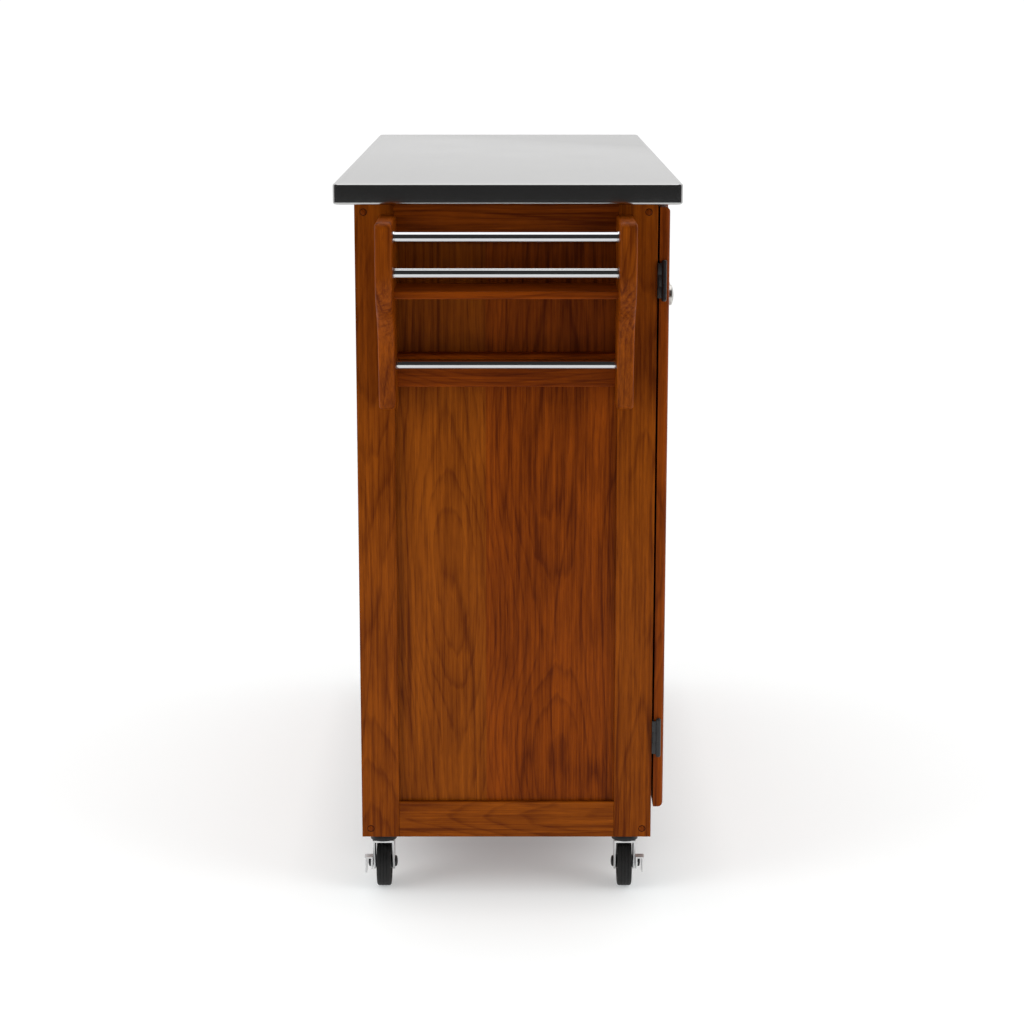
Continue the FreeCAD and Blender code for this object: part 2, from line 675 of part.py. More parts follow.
def hinge_pin(name):
    shaft = cylinder(name, ("0", "0", "-leaf_height / 2"), "hinge_pin_radius", "leaf_height")
    tips = []
    for end, bottom, level in (("top", "leaf_height / 2", "leaf_height / 2 + tip_height"),
                               ("foot", "-leaf_height / 2 - tip_height", "-leaf_height / 2 - tip_height")):
        tip = cylinder(f"{name}_{end}", ("0", "0", bottom), "knuckle_radius", "tip_height")
        tips.append(rounded(f"{name}_{end}", tip, "knuckle_radius * 0.7",
                            lambda edge, at=level: flat_at(edge, "Z", value(at))))
    return join(name, shaft, *tips)


def build_hinges():
    outer_length = "leaf_height / 2 - knuckle_length / 2 - knuckle_play"
    outer = [("-leaf_height / 2", outer_length), ("knuckle_length / 2 + knuckle_play", outer_length)]
    inner = [("-knuckle_length / 2", "knuckle_length")]
    case_near = "hinge_forward - leaf_thickness"
    door_near = "hinge_forward - door_gap"
    case_leaves, pins = [], []
    for door, left, axis, on_right in DOORS:
        rotation = HALF_TURN if on_right else NO_TURN
        door_leaves = []
        for level in ("hinge_low_z", "hinge_high_z"):
            place = (axis, "hinge_y", level)
            label = f"{door}_{level}"
            case_leaves.append(put(hinge_leaf(label + "_case", case_near, outer, "hinge_pin_radius"),
                                   place, rotation))
            door_leaves.append(put(hinge_leaf(label + "_door", door_near, inner,
                                              "hinge_pin_radius + pin_clearance"), place, rotation))
            pins.append(put(hinge_pin(label + "_pin"), place, rotation))
        node(door + "_hinge_leaves", door_leaves)
    node("case_hinge_leaves", case_leaves)
    node("hinge_pins", pins)


def knob(name):
    """A turned knob: a foot, a waisted neck and a domed head, along its own Y axis."""
    body = spun(name, [("0", "0"), ("knob_foot", "0"), ("knob_foot", "knob_projection * 0.12"),
                       ("knob_neck", "knob_projection * 0.3"), ("knob_neck", "knob_projection * 0.45"),
                       ("knob_radius", "knob_projection * 0.65"),
                       ("knob_radius", "knob_projection * 0.8"),
                       ("knob_radius * 0.5", "knob_projection"), ("0", "knob_projection")])
    rim = value("knob_radius")
    round_feature(body, name + "_rim", "knob_projection * 0.06",
                  lambda edge: edge.BoundBox.XMax > rim - 0.01 and edge.BoundBox.YLength < 0.01)
    return body


def build_doors():
    for door, left, axis, on_right in DOORS:
        place = (left, "door_face", "door_bottom")
        stiles, rails, panels = framed_panel(door, "door_width", "door_height", "door_thickness",
                                             "door_stile", "door_rail", "door_panel", "door_recess",
                                             "panel_play")
        width, height = value("door_width"), value("door_height")

        def outer_edge(edge):
            ends = flat_at(edge, "Z", 0) or flat_at(edge, "Z", height)
            sides = flat_at(edge, "X", 0) or flat_at(edge, "X", width)
            return flat_at(edge, "Y", 0) and (ends or sides)

        sides = [rounded(piece.Name, piece, "door_round", outer_edge) for piece in stiles]
        node(door + "_frame", sides + rails, place)
        node(door + "_panel", panels, place)
        knob_x = f"{left} + door_stile / 2" if on_right else f"{left} + door_width - door_stile / 2"
        turned_knob = put(knob(door + "_knob"), (knob_x, "door_face", "knob_height"), turned(180))
        node(door + "_knob", [turned_knob])


# ---------------------------------------------------------------- spice rack
def build_rack():
    """Two shaped brackets carrying two rack rods, a shelf, a towel rod and a back board."""
    brackets = []
    rods = [("rod_depth", "rod_high"), ("rod_depth", "rod_low"), ("towel_depth", "towel_height")]
    # Local x is out from the case, local y is up, and the board's thickness runs to +Y.
    facing = FreeCAD.Rotation(Vector(-1, 0, 0), Vector(0, 0, 1), Vector(0, 1, 0), "ZXY")
    for side, inner, socket_y in (("front", "bracket_front_y - bracket_thickness",
                                   "bracket_front_y - rod_socket"),
                                  ("back", "bracket_back_y", "bracket_back_y")):
        name = side + "_bracket"
        body = new_body(name)
        pad(body, outline(body, name + "_side", [
            ("0", "0"), ("bracket_foot", "0"), ("bracket_waist", "curve_low"),
            ("bracket_depth", "curve_high"), ("bracket_depth", "bracket_height"),
            ("0", "bracket_height")]),
            "bracket_thickness")

        def across_at(edge, depth, level):
            box = edge.BoundBox
            here = abs(box.XMin - value(depth)) < 0.01 and abs(box.YMin - value(level)) < 0.01
            return here and box.XLength < 0.01 and box.YLength < 0.01

        round_feature(body, name + "_bends", "curve_radius", lambda edge: (
            across_at(edge, "bracket_waist", "curve_low")
            or across_at(edge, "bracket_depth", "curve_high")))
        round_feature(body, name + "_corners", "bracket_corner", lambda edge: (
            across_at(edge, "bracket_foot", "0") or across_at(edge, "bracket_depth", "bracket_height")))
        thick = value("bracket_thickness")
        round_feature(body, name + "_edges", "bracket_round", lambda edge: (
            (flat_at(edge, "Z", 0) or flat_at(edge, "Z", thick)) and edge.BoundBox.XMax > 0.01))
        put(body, ("case_left", inner, "bracket_bottom"), facing)
        sockets = [cylinder(f"{name}_socket{number}", (f"case_left - {depth}", socket_y, level),
                            "rod_radius + rod_fit", "rod_socket", LEVEL_Y)
                   for number, (depth, level) in enumerate(rods)]
        brackets.append(cut(name, body, *sockets))
    node("rack_brackets", brackets)

    bars = [cylinder(f"rod{number}", (f"case_left - {depth}", "bracket_front_y - rod_socket", level),
                     "rod_radius", "rack_width + 2 * rod_socket", LEVEL_Y)
            for number, (depth, level) in enumerate(rods)]
    node("rack_rods", bars[:2])
    node("towel_rod", bars[2:])

    def front_edges(item_x):
        return lambda edge: flat_at(edge, "X", value(item_x)) and edge.BoundBox.YLength > 1

    shelf_x = "case_left - rack_shelf_depth"
    shelf = block("rack_shelf_board", (shelf_x, "bracket_front_y", "rack_shelf_top - rack_shelf_thickness"),
                  ("rack_back - case_left + rack_shelf_depth", "rack_width", "rack_shelf_thickness"))
    node("rack_shelf", [rounded("rack_shelf_board", shelf, "board_round", front_edges(shelf_x))])
    board_x = "case_left - board_depth"
    board = block("rack_board_bar", (board_x, "bracket_front_y", "board_bottom"),
                  ("rack_back - case_left + board_depth", "rack_width", "board_height"))
    node("rack_board", [rounded("rack_board_bar", board, "board_round", front_edges(board_x))])

    # Screws from inside the case through the end stiles into the brackets.
    screws = []
    for side, y in (("front", "bracket_front_y - bracket_thickness + screw_edge"),
                    ("back", "bracket_back_y + bracket_thickness - screw_edge")):
        for level, z in (("low", "bracket_bottom + bracket_foot"), ("high", "bracket_top - bracket_foot")):
            name = f"{side}_{level}_screw"
            shank = cylinder(name, ("case_left - screw_reach", y, z), "screw_radius",
                             "screw_reach + frame_thickness", LEVEL_X)
            head = cylinder(name + "_head", ("inner_left", y, z), "screw_head", "screw_head_height",
                            LEVEL_X)
            screws.append(join(name, shank, head))
    node("rack_screws", screws)


# ---------------------------------------------------------------- casters
caster_corners = [
    ("left_front", "left_caster_x", "front_caster_y"),
    ("left_back", "left_caster_x", "back_caster_y"),
    ("right_front", "right_caster_x", "front_caster_y"),
    ("right_back", "right_caster_x", "back_caster_y"),
]
# Which side of a braked caster its lever is on: -1 towards the front, +1 towards the back.
LEVER_SIDES = {"left_front": -1, "left_back": 1}


def fork(name, lever_side):
    """A crown with a bearing cup, two legs, and the axle across them. The stem is the local Z axis."""
    crown = block(name + "_crown", ("-fork_half", "-fork_half", "crown_bottom"),
                  ("caster_trail + fork_foot + fork_half", "2 * fork_half", "crown_thickness"))
    cup = cylinder(name + "_cup", ("0", "0", "crown_top"), "cup_radius",
                   "cup_height")
    legs = []
    for side, y in (("a", "-fork_gap / 2"), ("b", "fork_half")):
        body = new_body(f"{name}_leg_{side}")
        pad(body, outline(body, f"{name}_leg_{side}_side", [
            ("-fork_half", "crown_top"), ("caster_trail - fork_foot", "wheel_radius - fork_foot"),
            ("caster_trail + fork_foot", "wheel_radius - fork_foot"),
            ("caster_trail + fork_foot", "crown_top")]), "fork_plate")
        foot = value("wheel_radius - fork_foot")
        round_feature(body, f"{name}_leg_{side}_foot", "fork_foot * 0.8", lambda edge: (
            abs(edge.BoundBox.YMin - foot) < 0.01 and edge.BoundBox.YLength < 0.01
            and edge.BoundBox.XLength < 0.01))
        legs.append(put(body, ("0", y, "0"), UPRIGHT))
    bores = [
        cylinder(name + "_kingpin_bore", ("0", "0", "crown_bottom"), "kingpin_radius + kingpin_clearance",
                 "collar_bottom - crown_bottom"),
        cylinder(name + "_axle_bore", ("caster_trail", "-fork_half", "wheel_radius"), "axle_radius",
                 "2 * fork_half", LEVEL_Y),
    ]
    frame = cut(name, join(name, crown, cup, *legs), *bores)

    low_end = "fork_half"
    high_end = "fork_half"
    boss_room = "lever_boss_thickness + 2 * swivel_play"
    if lever_side < 0:
        low_end = f"fork_half + {boss_room}"
    if lever_side > 0:
        high_end = f"fork_half + {boss_room}"
    shaft = cylinder(name + "_shaft", ("caster_trail", f"-({low_end})", "wheel_radius"), "axle_radius",
                     f"{low_end} + {high_end}", LEVEL_Y)
    heads = [cylinder(name + "_head_a", ("caster_trail", f"-({low_end}) - axle_head_height", "wheel_radius"),
                      "axle_head", "axle_head_height", LEVEL_Y),
             cylinder(name + "_head_b", ("caster_trail", high_end, "wheel_radius"),
                      "axle_head", "axle_head_height", LEVEL_Y)]
    return [frame, join(name + "_axle", shaft, *heads)]


def hub(name):
    half_boss = "(fork_gap / 2 - boss_play)"
    bore = "axle_radius + axle_clearance"
    return spun(name, [
        (bore, f"-{half_boss}"), ("boss_radius", f"-{half_boss}"), ("boss_radius", "-rim_width / 4"),
        ("rim_inside", "-rim_width / 4"), ("rim_inside", "-rim_width / 2"),
        ("rim_radius", "-rim_width / 2"), ("rim_radius", "rim_width / 2"),
        ("rim_inside", "rim_width / 2"), ("rim_inside", "rim_width / 4"),
        ("boss_radius", "rim_width / 4"), ("boss_radius", half_boss), (bore, half_boss)])


def tyre(name):
    body = spun(name, [("rim_radius", "-rim_width / 2"), ("rim_radius + tyre_bulge", "-wheel_width / 2"),
                       ("wheel_radius", "-wheel_width / 2"), ("wheel_radius", "wheel_width / 2"),
                       ("rim_radius + tyre_bulge", "wheel_width / 2"), ("rim_radius", "rim_width / 2")])
    tread = value("wheel_radius")
    round_feature(body, name + "_shoulder", "tyre_shoulder",
                  lambda edge: edge.BoundBox.XMax > tread - 0.01 and edge.BoundBox.YLength < 0.01)
    return body


def brake_lever(name, side):
    """A pedal on an arm that turns about the wheel's axle, outside the fork."""
    def strip(label, x, near, z, length, thick, high):
        low = near if side > 0 else f"-({near}) - ({thick})"
        return block(f"{name}_{label}", (x, low, z), (length, thick, high))

    inner = "fork_half + swivel_play"
    boss_low = inner if side > 0 else f"-({inner}) - lever_boss_thickness"
    boss = cylinder(name + "_boss", ("caster_trail", boss_low, "wheel_radius"), "lever_boss",
                    "lever_boss_thickness", LEVEL_Y)
    arm = strip("arm", "caster_trail - lever_reach", inner, "wheel_radius - lever_plate",
                "lever_reach", "lever_plate", "2 * lever_plate")
    riser = strip("riser", "caster_trail - lever_reach", inner, "wheel_radius - lever_plate",
                  "lever_reach / 2", "lever_plate", "lever_top - wheel_radius + lever_plate")
    pedal = strip("pedal", "caster_trail - lever_reach", inner, "lever_top - lever_plate",
                  "lever_reach / 2", "lever_offset + lever_flange", "lever_plate")
    web = strip("web", "caster_trail - lever_reach", "fork_half + lever_offset", "lever_bottom",
                "lever_reach / 2", "lever_plate", "lever_top - lever_bottom - lever_plate / 2")
    bore = cylinder(name + "_bore", ("caster_trail", boss_low, "wheel_radius"),
                    "axle_radius + axle_clearance", "lever_boss_thickness", LEVEL_Y)
    return cut(name, join(name, boss, arm, riser, pedal, web), bore)


def caster_stem(name):
    """The kingpin with its rivet head, the collar, and the stem up into the corner block."""
    head_bottom = "crown_bottom - swivel_play - kingpin_rim"
    head = cylinder(name + "_head", ("0", "0", head_bottom), "kingpin_radius + kingpin_rim",
                    "kingpin_rim")
    kingpin = cylinder(name + "_kingpin", ("0", "0", head_bottom), "kingpin_radius",
                       f"collar_bottom - ({head_bottom})")
    collar = cylinder(name + "_collar", ("0", "0", "collar_bottom"), "cup_radius + collar_rim",
                      "collar_thickness")
    stem = cylinder(name + "_shank", ("0", "0", "case_bottom"), "stem_radius", "stem_length")
    return join(name, head, kingpin, collar, stem)


def build_casters():
    stems, sockets = [], []
    for corner, x, y in caster_corners:
        place = (x, y, "0")
        side = LEVER_SIDES.get(corner, 0)
        node(corner + "_caster_fork", fork(corner + "_fork", side), place)
        axle_place = (f"{x} + caster_trail", y, "wheel_radius")
        node(corner + "_wheel_hub", [put(hub(corner + "_hub"), axle_place)])
        node(corner + "_tyre", [put(tyre(corner + "_tyre_ring"), axle_place)])
        stems.append(put(caster_stem(corner + "_stem"), place))
        outer = cylinder(corner + "_socket", (x, y, "case_bottom"), "socket_radius",
                         "stem_length + socket_floor")
        inner = cylinder(corner + "_socket_bore", (x, y, "case_bottom"), "stem_radius", "stem_length")
        sockets.append(cut(corner + "_socket", outer, inner))
        if side:
            node(corner + "_brake_lever", [put(brake_lever(corner + "_lever", side), place)])
    node("caster_stems", stems)
    node("caster_sockets", sockets)


# ---------------------------------------------------------------- the whole cart
build_case()
build_plugs()
build_worktop()
build_shelves()
build_hinges()
build_doors()
build_rack()
build_casters()
doc.recompute()

for item in doc.Objects:
    if "Invalid" in item.State or "Error" in item.State:
        raise RuntimeError(f"{item.Name} did not compute: {item.State}")
for item in node_list:
    if item.Shape.isNull() or not item.Shape.isValid() or not item.Shape.Solids:
        raise RuntimeError(f"{item.Label} has no sound solid")

os.makedirs("parts", exist_ok=True)
for item in node_list:
    item.Shape.exportStep(f"parts/{item.Label}.step")
box = Part.makeCompound([item.Shape for item in node_list]).BoundBox
print(len(node_list), "nodes; X", round(box.XMin, 2), round(box.XMax, 2), "Y", round(box.YMin, 2),
      round(box.YMax, 2), "Z", round(box.ZMin, 2), round(box.ZMax, 2))
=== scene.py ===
# %% [markdown]
# # A rolling pantry cart
#
# This lesson dresses a finished CAD model of a kitchen cart: a stained hardwood case on four
# casters, a worktop clad in stainless steel, and a spice rack with a towel rod on one end.
# The CAD model says where everything is and how it moves. Blender adds what the eye looks for:
# eased edges, real grain on every board, brushed metal, rubber, screws and plugs.
#
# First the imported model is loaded. Its nodes stay where they are for the whole script.

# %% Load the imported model
import json
import math
import random

import bmesh
import bpy
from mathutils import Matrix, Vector


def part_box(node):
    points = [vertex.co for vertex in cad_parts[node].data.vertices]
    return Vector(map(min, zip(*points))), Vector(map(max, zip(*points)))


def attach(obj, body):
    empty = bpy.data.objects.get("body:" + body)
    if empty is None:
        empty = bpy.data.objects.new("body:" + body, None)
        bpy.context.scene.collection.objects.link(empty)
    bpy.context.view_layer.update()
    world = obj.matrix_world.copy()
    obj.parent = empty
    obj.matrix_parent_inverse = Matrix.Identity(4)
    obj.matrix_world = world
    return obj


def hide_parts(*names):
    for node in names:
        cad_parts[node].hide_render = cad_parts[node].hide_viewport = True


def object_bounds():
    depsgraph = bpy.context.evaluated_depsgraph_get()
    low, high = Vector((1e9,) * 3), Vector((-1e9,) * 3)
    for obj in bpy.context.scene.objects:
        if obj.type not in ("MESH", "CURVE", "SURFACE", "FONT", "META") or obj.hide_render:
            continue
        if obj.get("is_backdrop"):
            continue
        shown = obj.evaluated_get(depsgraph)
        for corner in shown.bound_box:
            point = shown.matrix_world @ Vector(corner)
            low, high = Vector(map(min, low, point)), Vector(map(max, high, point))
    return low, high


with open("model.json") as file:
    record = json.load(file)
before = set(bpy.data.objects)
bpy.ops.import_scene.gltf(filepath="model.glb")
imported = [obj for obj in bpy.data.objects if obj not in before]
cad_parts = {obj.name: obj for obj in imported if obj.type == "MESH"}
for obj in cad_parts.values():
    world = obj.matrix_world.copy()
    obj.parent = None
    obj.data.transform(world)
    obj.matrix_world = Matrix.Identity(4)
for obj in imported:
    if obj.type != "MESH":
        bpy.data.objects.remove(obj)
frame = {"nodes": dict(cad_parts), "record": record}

MM = 0.001
record = frame["record"]
nodes = frame["nodes"]
bodies = record["behaviour"]["bodies"]
body_of_node = {node: body for body, members in bodies.items() for node in members}
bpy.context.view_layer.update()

# %% [markdown]
# ## The camera
#
# A product picture of a long cart is often taken squarely on its end, from a little above, with a
# long lens so that the sides hardly converge. An 85 mm lens about three metres away does that.

# %% Camera
top_low, top_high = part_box("worktop_steel")
EYE_DISTANCE = 2.9285
EYE_HEIGHT = 1.1323
EYE_ASIDE = -0.0051
EYE_PITCH = 11.963
LENS = 85.2

camera_data = bpy.data.cameras.new("camera")
camera_data.lens = LENS
camera_data.sensor_width = 36
camera = bpy.data.objects.new("camera", camera_data)
camera.location = (top_low.x - EYE_DISTANCE, (top_low.y + top_high.y) / 2 + EYE_ASIDE, EYE_HEIGHT)
camera.rotation_euler = (math.radians(90 - EYE_PITCH), 0, math.radians(-90))
bpy.context.scene.collection.objects.link(camera)
bpy.context.scene.camera = camera
bpy.context.scene.view_settings.view_transform = "Standard"
print("camera at", [round(v, 3) for v in camera.location])

# %% [markdown]
# ## A small language for node trees
#
# Materials and geometry trees are written as Python. `Signal` wraps one output socket and turns
# `+`, `-`, `*` and `/` into Math nodes, so a formula reads as a formula. `Graph.node` makes any
# other node: first its settings, then the values or links of its sockets.

# %% Signals and graphs
class Signal:
    """One output of a node, ready for arithmetic."""

    def __init__(self, graph, socket):
        self.graph = graph
        self.socket = socket

    def math(self, operation, first, second=0.0):
        return self.graph.node("ShaderNodeMath", {"operation": operation}, {0: first, 1: second})

    def __add__(self, other):
        return self.math("ADD", self, other)

    def __sub__(self, other):
        return self.math("SUBTRACT", self, other)

    def __rsub__(self, other):
        return self.math("SUBTRACT", other, self)

    def __mul__(self, other):
        return self.math("MULTIPLY", self, other)

    def __truediv__(self, other):
        return self.math("DIVIDE", self, other)

    def __abs__(self):
        return self.math("ABSOLUTE", self)

    def __pow__(self, other):
        return self.math("POWER", self, other)

    __radd__ = __add__
    __rmul__ = __mul__

    def fraction(self):
        return self.math("FRACT", self)

    def clamped(self):
        return self.graph.node("ShaderNodeClamp", None, {"Value": self})


class Graph:
    """A node tree that is being written."""

    def __init__(self, tree):
        self.tree = tree

    def node(self, kind, settings=None, inputs=None, output=0):
        made = self.tree.nodes.new(kind)
        for key, value in (settings or {}).items():
            setattr(made, key, value)
        for key, value in (inputs or {}).items():
            if isinstance(value, Signal):
                self.tree.links.new(value.socket, made.inputs[key])
            else:
                made.inputs[key].default_value = value
        return Signal(self, made.outputs[output]) if made.outputs else None

    def blend(self, factor, first, second):
        """Mixes two colours; a colour is a signal or three numbers."""
        sides = [side if isinstance(side, Signal) else (*side, 1) for side in (first, second)]
        return self.node("ShaderNodeMix", {"data_type": "RGBA"},
                         {0: factor, 6: sides[0], 7: sides[1]}, output=2)


# %% [markdown]
# A `Finish` is a material. It adds the few patterns that every finish here needs: noise that may be
# stretched, and a bump. Whatever changes over a surface feeds only the sockets that can be baked.

# %% Finishes
class Finish(Graph):
    """A material with one Principled shader."""

    def __init__(self, name):
        self.material = bpy.data.materials.new(name)
        self.material.use_nodes = True
        super().__init__(self.material.node_tree)
        self.tree.nodes.clear()

    def place(self):
        return self.node("ShaderNodeTexCoord", output="Object")

    def stretch(self, vector, scale):
        return self.node("ShaderNodeVectorMath", {"operation": "MULTIPLY"}, {0: vector, 1: scale})

    def noise(self, vector, scale, detail=2.0, roughness=0.5):
        """Noise with about scale cells to the metre, one number for each axis."""
        return self.node("ShaderNodeTexNoise", None, {"Vector": self.stretch(vector, scale), "Scale": 1.0,
                                                      "Detail": detail, "Roughness": roughness})

    def finish(self, colour, roughness, relief=None, depth=0.0, varying=None, **fixed):
        """Wires the shader. varying holds more changing sockets, fixed the ones that never change."""
        inputs = {"Base Color": colour, "Roughness": roughness, **(varying or {})}
        if relief is not None:
            inputs["Normal"] = self.node("ShaderNodeBump", None, {"Height": relief, "Distance": depth,
                                                                  "Strength": 1.0})
        inputs.update({key.replace("_", " "): value for key, value in fixed.items()})
        shader = self.node("ShaderNodeBsdfPrincipled", None, inputs)
        self.node("ShaderNodeOutputMaterial", None, {"Surface": shader})
        return self.material


# %% [markdown]
# ## Stained hardwood
#
# Every board of the case is light hardwood under a cherry stain and a thin satin lacquer. A board is
# a slice of a tree, so its figure is made the same way: growth rings lie round a heart line, and the
# board cuts through them. Near the heart line the cut gives arches and ovals, further away it gives
# straight lines. Each board carries two attributes. `plank` holds x along the grain, y across it and
# z through it, shifted at random so that no two boards match. `heart` holds the distance across and
# through the board to its heart line, and in z the board's own tone, from red to yellow. Dark veins
# follow the lines on which a slow noise crosses its middle value.

# %% Wood
def wood(name, red, yellow, dark, ring, relief=1.0):
    """A stained wood: each tone is a (deep, light) pair of colours, ring the growth rings' spacing."""
    make = Finish(name)
    plank = make.node("ShaderNodeAttribute", {"attribute_name": "plank"}, output="Vector")
    heart = make.node("ShaderNodeAttribute", {"attribute_name": "heart"}, output="Vector")
    across, through, tone = [make.node("ShaderNodeSeparateXYZ", None, {0: heart}, output=part)
                             for part in range(3)]

    swell = make.noise(plank, (2.1, 3, 3), 1)
    wobble = make.noise(plank, (6, 40, 40), 3, 0.6)
    radius = (across * across + through * through) ** 0.5 + (swell - 0.5) * 0.10 + (wobble - 0.5) * 0.008
    place = (radius / ring).fraction()
    latewood = place ** 5 * ((1 - place) * 7).clamped() * 1.5

    streaks = make.noise(plank, (5, 260, 260), 3, 0.6)
    fibres = make.noise(plank, (20, 1100, 1100), 2)
    patches = make.noise(plank, (5, 20, 20), 4, 0.6)
    flecks = make.noise(plank, (16, 120, 120), 3, 0.65)
    slow_drift = make.noise(plank, (1.6, 17, 17), 1)
    veins = (1 - abs(slow_drift - 0.5) * 55).clamped()
    pores = ((make.noise(plank, (60, 1700, 1700), 1) - 0.60) * 9).clamped()

    figure = (0.57 - latewood * 0.40 - veins * 0.36 + (streaks - 0.5) * 1.5 + (fibres - 0.5) * 0.9
              + (patches - 0.5) * 1.5 + (flecks - 0.5) * 0.6).clamped()
    reddish = make.blend(figure, *red)
    yellowish = make.blend(figure, *yellow)
    toned = make.blend(tone, reddish, yellowish)
    colour = make.blend(pores * 0.30, toned, dark)
    height = streaks * 0.5 + fibres * 0.6 - pores * 0.8 - latewood * 0.3
    roughness = 0.34 + fibres * 0.14 + patches * 0.12
    return make.finish(colour, roughness, height, 0.00006 * relief,
                       {"Coat Weight": 0.02 + patches * 0.05}, Coat_Roughness=0.18, Specular_IOR_Level=0.04)


RED = ((0.088, 0.0130, 0.0006), (0.275, 0.0510, 0.0012))
YELLOW = ((0.110, 0.0200, 0.0006), (0.300, 0.0730, 0.0030))
FILLED_PORE = (0.05, 0.006, 0.0005)
BARE = ((0.42, 0.27, 0.14), (0.62, 0.44, 0.26))
BARE_YELLOW = ((0.46, 0.31, 0.16), (0.66, 0.49, 0.30))
BARE_PORE = (0.25, 0.15, 0.08)
stained = wood("stained_hardwood", RED, YELLOW, FILLED_PORE, 0.0065)
panelled = wood("stained_veneer", RED, YELLOW, FILLED_PORE, 0.0058)
plain = wood("unstained_wood", BARE, BARE_YELLOW, BARE_PORE, 0.007, relief=2.0)
print("three woods")

# %% [markdown]
# ## Metals, rubber and plastic
#
# Brushed steel is a mirror with fine parallel scratches: noise stretched a few hundred times along
# the brushing, driving roughness and a very small bump. Chrome is almost clean, with faint wiping
# marks. Zinc plate is blotchy, black paint has a light orange-peel skin, and rubber is matt with dust.
# A nearly black, matt finish paints the shade in the gap round each plug.

# %% Metals, rubber and plastic
def brushed_steel():
    make = Finish("brushed_steel")
    place = make.place()
    lines = make.noise(place, (3, 950, 950), 3, 0.6)
    coarse = make.noise(place, (1.2, 120, 120), 2)
    smudges = make.noise(place, (5, 7, 7), 3)
    colour = make.blend((lines * 0.7 + coarse * 0.3 - 0.2).clamped(), (0.42, 0.415, 0.41),
                        (0.51, 0.505, 0.50))
    roughness = 0.13 + lines * 0.06 + (smudges - 0.5) * 0.05
    return make.finish(colour, roughness, lines + coarse * 0.5, 0.000004, Metallic=1.0)


def chrome():
    make = Finish("chrome_plate")
    place = make.place()
    wiping = make.noise(place, (90, 90, 90), 3, 0.6)
    broad = make.noise(place, (12, 9, 12), 2)
    colour = make.blend(broad, (0.54, 0.54, 0.55), (0.61, 0.61, 0.62))
    return make.finish(colour, 0.05 + wiping * 0.05 + broad * 0.03, wiping, 0.000004, Metallic=1.0)


def satin_nickel():
    make = Finish("satin_nickel")
    place = make.place()
    rings = make.noise(place, (700, 900, 700), 2)
    broad = make.noise(place, (60, 60, 60), 2)
    colour = make.blend(broad, (0.50, 0.48, 0.45), (0.64, 0.62, 0.59))
    return make.finish(colour, 0.24 + rings * 0.12, rings, 0.000008, Metallic=1.0)


def zinc_plate():
    make = Finish("zinc_plate")
    place = make.place()
    blotches = make.noise(place, (130, 130, 130), 3, 0.6)
    fine = make.noise(place, (900, 900, 900), 2)
    colour = make.blend(blotches, (0.60, 0.60, 0.61), (0.78, 0.78, 0.77))
    return make.finish(colour, 0.26 + blotches * 0.18 + fine * 0.05, blotches * 0.3 + fine * 0.3, 0.00002,
                       Metallic=1.0)


def black_paint():
    make = Finish("black_paint")
    place = make.place()
    skin = make.noise(place, (600, 600, 600), 2)
    wear = ((make.noise(place, (120, 120, 120), 4, 0.65) - 0.66) * 8).clamped()
    colour = make.blend(wear, (0.012, 0.012, 0.013), (0.07, 0.065, 0.06))
    return make.finish(colour, 0.34 + skin * 0.12, skin, 0.00001, Specular_IOR_Level=0.45)


def rubber():
    make = Finish("tyre_rubber")
    place = make.place()
    grit = make.noise(place, (1400, 1400, 1400), 2)
    dust = make.noise(place, (45, 45, 45), 4, 0.6)
    colour = make.blend((dust * 1.4 - 0.45).clamped(), (0.009, 0.009, 0.009), (0.020, 0.0195, 0.0185))
    return make.finish(colour, 0.55 + dust * 0.25, grit * 0.7 + dust, 0.00004, Specular_IOR_Level=0.35)


def moulded_plastic():
    make = Finish("moulded_plastic")
    place = make.place()
    skin = make.noise(place, (420, 420, 420), 3)
    broad = make.noise(place, (40, 40, 40), 2)
    colour = make.blend(broad, (0.010, 0.010, 0.011), (0.022, 0.022, 0.023))
    return make.finish(colour, 0.38 + skin * 0.16, skin, 0.00002, Specular_IOR_Level=0.4)


# Painted shade: a nearly black matt finish for the shaded gap round each plug.
def dried_stain():
    make = Finish("dried_stain")
    gap_shade_speckle = make.noise(make.place(), (900, 900, 900), 3)
    colour = make.blend(gap_shade_speckle, (0.008, 0.002, 0.001), (0.020, 0.005, 0.002))
    return make.finish(colour, 0.55 + gap_shade_speckle * 0.2, gap_shade_speckle, 0.00003, Specular_IOR_Level=0.08)


steel, chromed, nickel, zinc = brushed_steel(), chrome(), satin_nickel(), zinc_plate()
black, tyre_rubber, plastic, gap_shade = black_paint(), rubber(), moulded_plastic(), dried_stain()
print("eight other finishes")

# %% [markdown]
# ## Boards from CAD solids
#
# A CAD node arrives as loose triangles. `dressed` copies it, merges it back into clean faces, and
# looks at each separate solid in turn. The grain runs along the longest side of a solid, unless the
# call names an axis. Wide panels are cut along their seams first, because they are glued up from
# narrower boards, and each board gets its own shift, heart line and tone. Seams are places along Y,
# or along X on the panels that face front or back. A small bevel eases edges the CAD left sharp.

# %% Dressing a node
def add_object(name, mesh, material, body):
    """Links a finished piece and declares where it belongs."""
    mesh.materials.clear()
    mesh.materials.append(material)
    piece = bpy.data.objects.new(name, mesh)
    bpy.context.scene.collection.objects.link(piece)
    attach(piece, body)
    return piece


def smooth(mesh, degrees=35):
    """Smooth shading, kept sharp where faces meet at more than this angle."""
    for face in mesh.polygons:
        face.use_smooth = True
    mesh.set_sharp_from_angle(angle=math.radians(degrees))


def as_mesh(shape, name):
    """Turns a finished bmesh into a mesh and frees it."""
    mesh = bpy.data.meshes.new(name)
    shape.to_mesh(mesh)
    shape.free()
    return mesh


